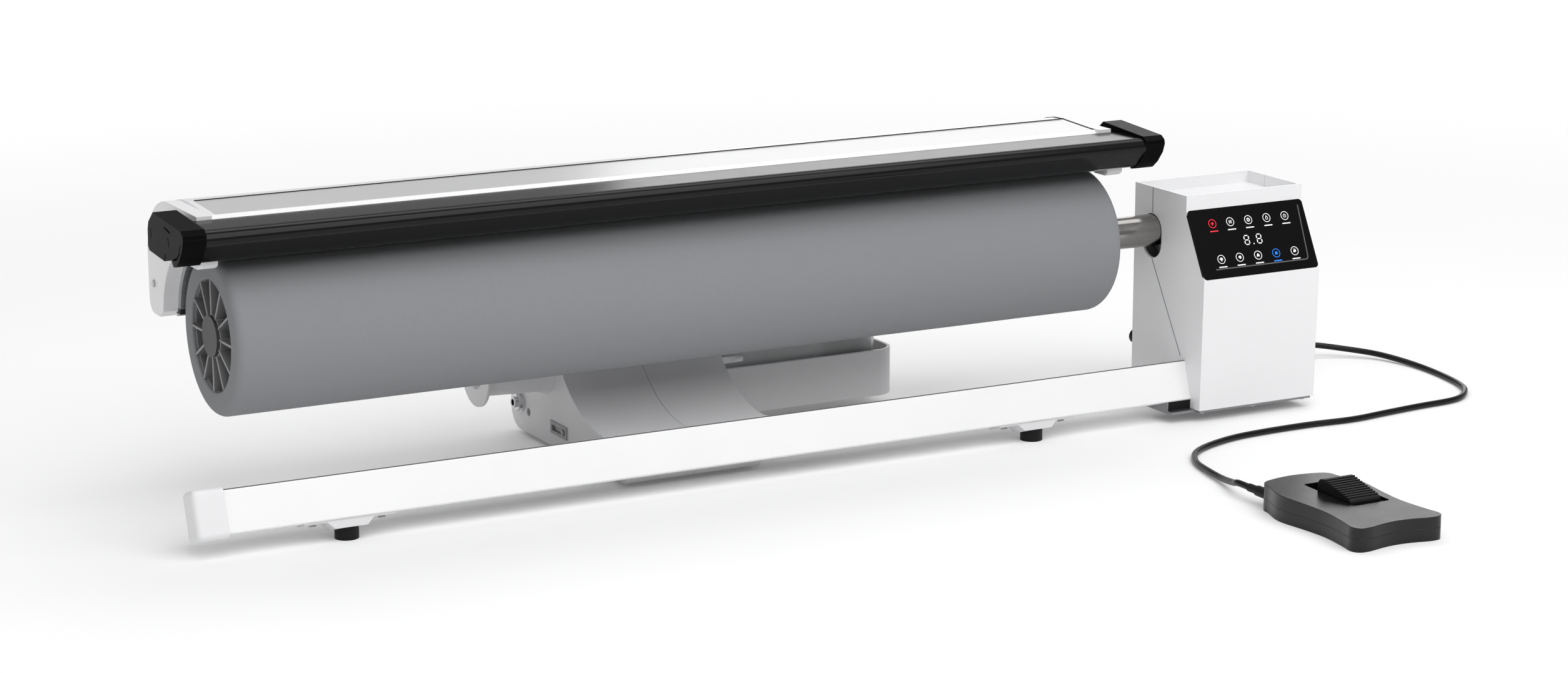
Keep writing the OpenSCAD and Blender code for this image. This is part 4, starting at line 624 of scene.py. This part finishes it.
def add_cover():
    profile = cover_profile()
    points, faces, along = [], [], [0.0]
    for (x0, r0, _), (x1, r1, _) in zip(profile, profile[1:]):
        along.append(along[-1] + math.hypot(x1 - x0, r1 - r0))
    for x, r, gather in profile:
        for k in range(AROUND):
            angle = 2 * math.pi * k / AROUND
            lift, fold = cover_offset(x, angle, gather)
            radius = r + (lift if r > ROLLER_R - EDGE_R else 0) + fold * (r < ROLLER_R)
            points.append((x - math.copysign(fold, x), radius * math.cos(angle),
                           ROLLER_AXIS + radius * math.sin(angle)))
    for i in range(len(profile) - 1):
        for k in range(AROUND):
            n = (k + 1) % AROUND
            faces.append((i * AROUND + k, i * AROUND + n, (i + 1) * AROUND + n, (i + 1) * AROUND + k))
    mesh = mesh_from("roller_cloth", points, faces)
    uv = mesh.uv_layers.new(name="UVMap")
    for face_index, face in enumerate(mesh.polygons):
        i, k = divmod(face_index, AROUND)
        corners = ((i, k), (i, k + 1), (i + 1, k + 1), (i + 1, k))
        for loop, (row, turn) in zip(face.loop_indices, corners):
            uv.data[loop].uv = (along[row], 2 * math.pi * ROLLER_R * turn / AROUND)
    obj = add_object("roller_cloth", mesh, "roller")
    mesh.materials.append(cloth("roller_cloth", CLOTH_TONE))
    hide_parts("roller_cover")


add_cover()


# Lugs of the cheeks that show below the ends of the rail
LUG_INNER = 0.4275
LUG_OUTER = 0.4445
LUG_OUTLINE = ((-0.034, 0.2405), (-0.034, 0.2345), (-0.029, 0.2315), (-0.012, 0.2315), (-0.006, 0.2345),
               (-0.006, 0.2405))
LUG_ROUND = 0.0015
LUG_ROUND_STEPS = 3


def add_lugs():
    count = len(LUG_OUTLINE)
    for name, side in (("lug_left", -1), ("lug_right", 1)):
        points = [(side * x, y, z) for x in (LUG_INNER, LUG_OUTER) for y, z in LUG_OUTLINE]
        faces = [(i, (i + 1) % count, count + (i + 1) % count, count + i) for i in range(count)]
        faces += [tuple(reversed(range(count))), tuple(range(count, 2 * count))]
        if side < 0:
            faces = [tuple(reversed(f)) for f in faces]
        mesh = mesh_from(name, points, faces)
        mesh.materials.append(MATERIALS["cheek_white"])
        obj = add_object(name, mesh, "frame")
        round_off = obj.modifiers.new("round", "BEVEL")
        round_off.width = LUG_ROUND
        round_off.segments = LUG_ROUND_STEPS


add_lugs()


# Painted shadow of the gap between cover and cheek at the head's right end, and of the gap behind the top
# panel: thin dark strips in the seal's black
GAP_SHADE_X = (0.4254, 0.4269)
GAP_SHADE_SUNK = 0.0002
GAP_SHADE_PROUD = 0.0006
GAP_SHADE_SECTION = ((GAP_SHADE_X[0], -GAP_SHADE_SUNK), (GAP_SHADE_X[1], -GAP_SHADE_SUNK), (GAP_SHADE_X[1], GAP_SHADE_PROUD),
                  (GAP_SHADE_X[0], GAP_SHADE_PROUD))
GAP_SHADE_CENTRE = (0.02, 0.19)
GAP_SHADE_FROM = math.radians(-8)
GAP_SHADE_TO = math.radians(111)
GAP_SHADE_STEPS = 72
OUTSIDE = 0.3
PANEL_SHADE_WIDE = 0.0009
PANEL_SHADE_PROUD = 0.0008


def cover_outline(x):
    """Points and outward directions round the head cover's outside at x, from its back to its front edge."""
    cover = frame["nodes"]["head_cover"]
    inward = cover.matrix_world.inverted()
    centre = Vector((x, *GAP_SHADE_CENTRE))
    out = []
    for i in range(GAP_SHADE_STEPS + 1):
        a = GAP_SHADE_FROM + (GAP_SHADE_TO - GAP_SHADE_FROM) * i / GAP_SHADE_STEPS
        start = centre + Vector((0, math.cos(a), math.sin(a))) * OUTSIDE
        towards = inward.to_3x3() @ (centre - start).normalized()
        hit, point, normal, _ = cover.ray_cast(inward @ start, towards)
        if hit:
            out.append((cover.matrix_world @ point, (cover.matrix_world.to_3x3() @ normal).normalized()))
    return out


def add_shade_strip(name, points, faces):
    """Dark strip on the head, in the seal's black: painted shadow of a gap."""
    mesh = mesh_from(name, points, faces, smooth=False)
    mesh.materials.append(MATERIALS["seal_black"])
    add_object(name, mesh, "frame")


def add_head_gap_shade():
    # a thin dark strip along the cover's outline: painted shadow of the gap between cover and cheek
    points = [Vector((x, at.y, at.z)) + out * lift
              for at, out in cover_outline(sum(GAP_SHADE_X) / 2) for x, lift in GAP_SHADE_SECTION]
    n = len(GAP_SHADE_SECTION)
    last = len(points) - n
    faces = [(i + k, i + (k + 1) % n, i + n + (k + 1) % n, i + n + k)
             for i in range(0, last, n) for k in range(n)]
    faces += [tuple(reversed(range(n))), tuple(range(last, last + n))]
    add_shade_strip("head_gap_shade", points, faces)


def add_panel_gap_shade():
    # a thin dark strip along the panel's back edge: painted shadow of the gap behind the panel
    low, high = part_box("top_panel")
    left, right, front, back = low[0], GAP_SHADE_X[1], high[1], high[1] + PANEL_SHADE_WIDE
    corners = ((left, front), (right, front), (right, back), (left, back))
    points = [(x, y, z) for z in (high[2] - GAP_SHADE_SUNK, high[2] + PANEL_SHADE_PROUD) for x, y in corners]
    add_shade_strip("panel_gap_shade", points, BOX_FACES)


add_head_gap_shade()
add_panel_gap_shade()


# Fine joints, drawn as thin dark strips of painted shade: the gap between the tower's shells, as (y, z) of
# its ends, and painted shadow lines along the beam's front plate, as the height of the line's foot up the
# plate and its width
JOINT_WIDE = 0.0009
JOINT_PROUD = 0.00006
JOINT_SHADE = plastic("joint_shade", (0.34, 0.34, 0.345), 0.6, grain=900)
TOWER_LEFT = 0.502
SEAM_PATHS = (((-0.0005, 0.2099), (-0.0005, 0.1855)), ((-0.0005, 0.1425), (-0.051, 0.058)))
BEAM_TILT = math.radians(18.7)
BEAM_HIGH = 0.037
BEAM_DEEP = 0.022
BEAM_LINES = (("beam_shadow_line_low", 0.0002, 0.0017), ("beam_shadow_line_top", BEAM_HIGH - 0.0012, 0.0009))


def strip(name, corners, out):
    """Thin raised strip over four corners, with its outer side towards out."""
    lift = Vector(out) * JOINT_PROUD
    low = [Vector(c) for c in corners]
    mesh = mesh_from(name, low + [c + lift for c in low], BOX_FACES, smooth=False)
    if (low[1] - low[0]).cross(low[2] - low[1]).dot(lift) < 0:
        mesh.flip_normals()
    # the strip's dark colour is painted shade of a gap
    mesh.materials.append(JOINT_SHADE)
    add_object(name, mesh, "frame")


def add_joint_shade_lines():
    for number, (top, low) in enumerate(SEAM_PATHS):
        run = Vector((0, low[0] - top[0], low[1] - top[1])).normalized()
        side = run.cross(Vector((1, 0, 0))) * JOINT_WIDE / 2
        a, b = Vector((TOWER_LEFT, *top)), Vector((TOWER_LEFT, *low))
        strip(f"shell_gap_shade_{number}", (a - side, b - side, b + side, a + side), (-1, 0, 0))
    beam_left, beam_front, beam_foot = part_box("beam")[0]
    up = Vector((0, math.sin(BEAM_TILT), math.cos(BEAM_TILT)))
    out = Vector((0, -math.cos(BEAM_TILT), math.sin(BEAM_TILT)))
    foot = Vector((beam_left, beam_front, beam_foot + BEAM_DEEP * math.sin(BEAM_TILT)))
    along = Vector((TOWER_LEFT - beam_left, 0, 0))
    for name, at, wide in BEAM_LINES:
        a, b = foot + up * at, foot + up * (at + wide)
        strip(name, (a, a + along, b + along, b), out)


add_joint_shade_lines()


# Signs on the control panel. PANEL_RUN and PANEL_RISE are how far its face runs back and rises.
PANEL_FOOT = Vector((TOWER_LEFT, -0.0863, 0.136))
PANEL_RUN = 0.0313
PANEL_RISE = 0.060
SLOPE = math.atan2(PANEL_RISE, PANEL_RUN)
INK = 0.00018
INK_GRAIN = 400
INK_SHEEN = 900
INK_ROUGH = (0.4, 0.55)
GLOW_GRAIN = 300
INK_DARK = 0.85


def lit(name, colour, strength):
    """A printed sign with light behind it, a little uneven."""
    f = Finish(name)
    f.link(f.mix(f.noise(INK_GRAIN), shade(colour, INK_DARK), shade(colour)), "Base Color")
    f.link(f.scaled(f.noise(INK_SHEEN), *INK_ROUGH), "Roughness")
    f.link(f.mix(f.noise(GLOW_GRAIN), shade(colour, INK_DARK), shade(colour)), "Emission Color")
    f.set(Emission_Strength=strength)
    return f.material


INK_WHITE = lit("ink_white", (0.93, 0.93, 0.93), 0.35)
INK_RED = lit("ink_red", (0.93, 0.13, 0.2), 0.5)
INK_BLUE = lit("ink_blue", (0.1, 0.48, 0.92), 0.5)
INK_GREY = lit("ink_grey", (0.36, 0.36, 0.37), 0.0)

# Forms of the signs, with lengths in millimetres. They are drawn at (u, v), where u runs from the panel's
# left edge and v up its slope.
RING_SIDES = 36
DISC_SIDES = 20
THIN_LINE = 0.45
RING_LINE = 0.55
HEAT_ARM = 1.5
HEAT_LINE = 0.9
STEAM_GAP = 1.2
STEAM_DOWN = 1.5
STEAM_SWING = 0.35
STEAM_TURN = 1.6
STEAM_STEP = 0.5
STEAM_POINTS = 7
GEAR_TEETH = 8
GEAR_ROOT = 1.2
GEAR_TIP = 2
GEAR_RING = 1.1
TOOTH_LINE = 0.6
DROP_TIP = 2.1
DROP_R = 1.2
DROP_DOWN = 0.5
DROP_TURNS = [math.radians(30 - 20 * i) for i in range(13)]
POWER_R = 1.5
POWER_DOWN = 0.1
POWER_GAP = (120, 420)
POWER_HIGH = 2
FOLD_LINE = 0.4
SHIRT = ((-0.8, -1.7), (0.8, -1.7), (0.8, 0.2), (1.7, -0.3), (2.0, 0.4), (0.8, 1.6), (-0.8, 1.6),
         (-2.0, 0.4), (-1.7, -0.3), (-0.8, 0.2))
LEAF = ((-1.7, 0.2), (-0.4, 1.5), (1.2, 1.3), (1.7, -0.1), (0.9, -1.5), (0.0, -1.6), (-0.9, -0.6))
CONE = ((-1.7, -1.3), (1.7, -1.3), (1.1, 0.6), (0.4, 1.7), (-0.4, 1.7), (-1.1, 0.6))
SPREAD_CLOTH = ((-1.5, -1.3), (1.2, -1.5), (1.6, 1.1), (-1.1, 1.4))
FOLDED_CLOTH = ((-1.8, -1.0), (0.9, -1.4), (1.8, 0.6), (-0.6, 1.2))
FOLD_EDGE = ((-1.2, 1.9), (1.4, 1.4))


def on_panel(u, v):
    """Point of the panel's face, u from its left edge and v up the slope, both in millimetres."""
    up = Vector((0, math.cos(SLOPE), math.sin(SLOPE)))
    out = Vector((0, -math.sin(SLOPE), math.cos(SLOPE)))
    return PANEL_FOOT + Vector((u * MM, 0, 0)) + up * (v * MM) + out * INK


def stroke(points, width, closed=False):
    """Points and faces of a flat line of even width through the points (u, v)."""
    pts = [Vector(p) for p in points]
    count = len(pts)
    out, faces = [], []
    for i, p in enumerate(pts):
        if closed:
            before, after = pts[i - 1], pts[(i + 1) % count]
        else:
            before, after = pts[max(i - 1, 0)], pts[min(i + 1, count - 1)]
        side = (after - before).normalized().orthogonal() * width / 2
        out += [p + side, p - side]
    for i in range(count if closed else count - 1):
        a, b = 2 * i, 2 * ((i + 1) % count)
        faces.append((a, a + 1, b + 1, b))
    return out, faces


def ring(u, v, r, width, start=0, end=360):
    """Line round (u, v), between two angles in degrees."""
    whole = end - start == 360
    turns = [math.radians(start + (end - start) * i / RING_SIDES) for i in range(RING_SIDES + (not whole))]
    return stroke([(u + r * math.cos(a), v + r * math.sin(a)) for a in turns], width, whole)


def filled(points):
    """Points and face of a filled form."""
    return [Vector(p) for p in points], [tuple(range(len(points)))]


def disc(u, v, r):
    turns = [2 * math.pi * i / DISC_SIDES for i in range(DISC_SIDES)]
    return filled([(u + r * math.cos(a), v + r * math.sin(a)) for a in turns])


def moved(points, u, v):
    return [(u + x, v + y) for x, y in points]


def form_sign(outline):
    """A sign that is one filled form."""
    return lambda u, v: [filled(moved(outline, u, v))]


def heat_sign(u, v):
    return [stroke([(u - HEAT_ARM, v), (u + HEAT_ARM, v)], HEAT_LINE),
            stroke([(u, v - HEAT_ARM), (u, v + HEAT_ARM)], HEAT_LINE)]


def steam_sign(u, v):
    return [stroke([(u + shift + STEAM_SWING * math.sin(t * STEAM_TURN), v - STEAM_DOWN + t * STEAM_STEP)
                    for t in range(STEAM_POINTS)], THIN_LINE) for shift in (-STEAM_GAP, 0, STEAM_GAP)]


def gear_sign(u, v):
    turns = [2 * math.pi / GEAR_TEETH * i for i in range(GEAR_TEETH)]
    teeth = [stroke([(u + r * math.cos(a), v + r * math.sin(a)) for r in (GEAR_ROOT, GEAR_TIP)], TOOTH_LINE)
             for a in turns]
    return teeth + [ring(u, v, GEAR_RING, RING_LINE)]


def drop_sign(u, v):
    pts = [(u, v + DROP_TIP)] + [(u + DROP_R * math.cos(a), v - DROP_DOWN + DROP_R * math.sin(a))
                                 for a in DROP_TURNS]
    return [stroke(pts + [pts[0]], THIN_LINE)]


def power_sign(u, v):
    return [ring(u, v - POWER_DOWN, POWER_R, THIN_LINE, *POWER_GAP),
            stroke([(u, v), (u, v + POWER_HIGH)], THIN_LINE)]


def fold_sign(u, v):
    return [filled(moved(FOLDED_CLOTH, u, v)), stroke(moved(FOLD_EDGE, u, v), FOLD_LINE)]


# The display's digits. The ends of a segment are counted in steps of DIGIT_STEP_U and DIGIT_STEP_V.
SEGMENTS = {"a": ((0, 6), (4, 6)), "b": ((4, 6), (4, 3)), "c": ((4, 3), (4, 0)), "d": ((0, 0), (4, 0)),
            "e": ((0, 0), (0, 3)), "f": ((0, 3), (0, 6)), "g": ((0, 3), (4, 3))}
ALL_SEGMENTS = "abcdefg"
DIGIT_STEP_U = 1.25
DIGIT_STEP_V = 1.45
SEGMENT_GAP = 0.75
SEGMENT_LINE = 0.95
DIGITS_AT = ((55.5, 29.5), (69.5, 29.5))
POINT_AT = (65.0, 29.6)
POINT_R = 0.6


def digit(u, v):
    marks = []
    for name in ALL_SEGMENTS:
        a, b = [Vector((u + x * DIGIT_STEP_U, v + y * DIGIT_STEP_V)) for x, y in SEGMENTS[name]]
        inset = (b - a).normalized() * SEGMENT_GAP
        marks.append(stroke([a + inset, b - inset], SEGMENT_LINE))
    return marks


# Places of the signs, with the ink of each, and of the line round the panel's right and lower edge
TOP_ROW = 53.0
LOW_ROW = 18.2
SIGNS = ((24.7, TOP_ROW, heat_sign, "red"), (44.8, TOP_ROW, steam_sign, "white"),
         (65.3, TOP_ROW, gear_sign, "white"), (86.2, TOP_ROW, drop_sign, "white"),
         (106.9, TOP_ROW, power_sign, "white"), (24.6, LOW_ROW, form_sign(SHIRT), "white"),
         (45.3, LOW_ROW, form_sign(LEAF), "white"), (66.1, LOW_ROW, form_sign(CONE), "white"),
         (86.8, LOW_ROW, form_sign(SPREAD_CLOTH), "blue"), (107.9, LOW_ROW, fold_sign, "white"))
SIGN_RING = 4.0
BAR_HALF = 4.5
BAR_DOWN = 7.4
BAR_LINE = 1.0
EDGE_TOP = (124.5, 62.0)
EDGE_END = (16.0, 9.0)
EDGE_CORNER = (121.2, 9.0)
EDGE_CORNER_R = 3
EDGE_CORNER_TURNS = [math.radians(-10 * i) for i in range(10)]
EDGE_LINE = 1.1


def add_marks(name, groups, material):
    points, faces = [], []
    for pts, fcs in groups:
        base = len(points)
        points += [on_panel(p[0], p[1]) for p in pts]
        faces += [tuple(base + i for i in f) for f in fcs]
    mesh = mesh_from(name, points, faces, smooth=False)
    mesh.materials.append(material)
    obj = add_object(name, mesh, "frame")
    obj.modifiers.new("ink", "SOLIDIFY").thickness = INK


def add_panel_marks():
    inks = {"white": [], "red": [], "blue": []}
    for u, v, sign, ink in SIGNS:
        bar = stroke([(u - BAR_HALF, v - BAR_DOWN), (u + BAR_HALF, v - BAR_DOWN)], BAR_LINE)
        inks[ink] += sign(u, v) + [ring(u, v, SIGN_RING, RING_LINE), bar]
    for u, v in DIGITS_AT:
        inks["white"] += digit(u, v)
    inks["white"].append(disc(*POINT_AT, POINT_R))
    add_marks("signs_white", inks["white"], INK_WHITE)
    add_marks("sign_red", inks["red"], INK_RED)
    add_marks("sign_blue", inks["blue"], INK_BLUE)
    right, foot = EDGE_CORNER
    r = EDGE_CORNER_R
    corner = [(right - r + r * math.cos(a), foot + r + r * math.sin(a)) for a in EDGE_CORNER_TURNS]
    add_marks("panel_line", [stroke([EDGE_TOP, *corner, EDGE_END], EDGE_LINE)], INK_GREY)


add_panel_marks()


# Floor, backdrop and light. Each lamp has its place, the point that it aims at, its size and its watts.
FLOOR_CORNERS = ((-14, -8, 0), (16, -8, 0), (16, 26, 0), (-14, 26, 0))
FLOOR_TONES = ((0.93, 0.93, 0.933, 1), (0.95, 0.95, 0.95, 1))
FLOOR_CLOUDS = 3
MIDDLE = (0.15, -0.1, 0.0)
FADE_FROM = 0.9
FADE_TO = 2.2
NEAR_GLOW = 0.1
WHITE = (1, 1, 1, 1)
SKY_LIGHT = 0.32
LAMPS = (("front", (0.3, -2.4, 3.1), (0.1, 0, 0.12), (4.4, 3.8), 124),
         ("top", (0.8, 1.2, 2.8), (0.1, -0.1, 0.0), (4.4, 1.4), 32),
         ("left", (-2.4, -0.8, 2.2), (-0.3, 0.0, 0.15), (1.8, 1.8), 12),
         ("back_right", (2.9, 3.4, 1.3), (0.3, 0.0, 0.25), (2.4, 1.8), 18))


def background_rays(tree):
    """1 for the rays that see the studio as a picture: from the camera, a gloss or a clear piece."""
    path = tree.nodes.new("ShaderNodeLightPath")
    seen = path.outputs["Is Camera Ray"]
    for other in ("Is Glossy Ray", "Is Transmission Ray"):
        seen = calculate(tree, "MAXIMUM", seen, path.outputs[other])
    return seen


def add_floor():
    """Pale floor: lit and shadowed near the object, and plain white further off."""
    mesh = mesh_from("floor", FLOOR_CORNERS, [(0, 1, 2, 3)], smooth=False)
    obj = bpy.data.objects.new("floor", mesh)
    scene.collection.objects.link(obj)
    material = bpy.data.materials.new("floor")
    material.use_nodes = True
    tree = material.node_tree
    tree.nodes.clear()
    out = tree.nodes.new("ShaderNodeOutputMaterial")
    place = tree.nodes.new("ShaderNodeTexCoord").outputs["Object"]
    cloud = node(tree, "ShaderNodeTexNoise", Vector=place, Scale=FLOOR_CLOUDS)
    soft = node(tree, "ShaderNodeBsdfDiffuse", Color=mix_colour(tree, cloud.outputs["Fac"], *FLOOR_TONES))
    fade = node(tree, "ShaderNodeMapRange", interpolation_type="SMOOTHSTEP",
                Value=measure(tree, "DISTANCE", place, MIDDLE), From_Min=FADE_FROM, From_Max=FADE_TO,
                To_Min=NEAR_GLOW)
    share = calculate(tree, "MULTIPLY", background_rays(tree), fade.outputs["Result"])
    white = node(tree, "ShaderNodeEmission", Color=WHITE, Strength=1.0)
    both = tree.nodes.new("ShaderNodeMixShader")
    for socket, value in zip(both.inputs, (share, soft.outputs[0], white.outputs[0])):
        tree.links.new(value, socket)
    tree.links.new(both.outputs[0], out.inputs["Surface"])
    mesh.materials.append(material)


def add_world():
    world = bpy.data.worlds.new("studio")
    scene.world = world
    world.use_nodes = True
    back = world.node_tree.nodes["Background"]
    back.inputs["Strength"].default_value = SKY_LIGHT
    back.inputs["Color"].default_value = WHITE


def add_lamp(name, at, aim, size, power):
    data = bpy.data.lights.new(name, "AREA")
    data.shape = "RECTANGLE"
    data.size, data.size_y = size
    data.energy = power
    obj = bpy.data.objects.new(name, data)
    scene.collection.objects.link(obj)
    obj.visible_camera = False
    obj.location = at
    obj.rotation_euler = (Vector(aim) - Vector(at)).to_track_quat("-Z", "Y").to_euler()


add_floor()
add_world()
for lamp in LAMPS:
    add_lamp(*lamp)
scene.view_settings.view_transform = "Standard"

bpy.context.view_layer.update()
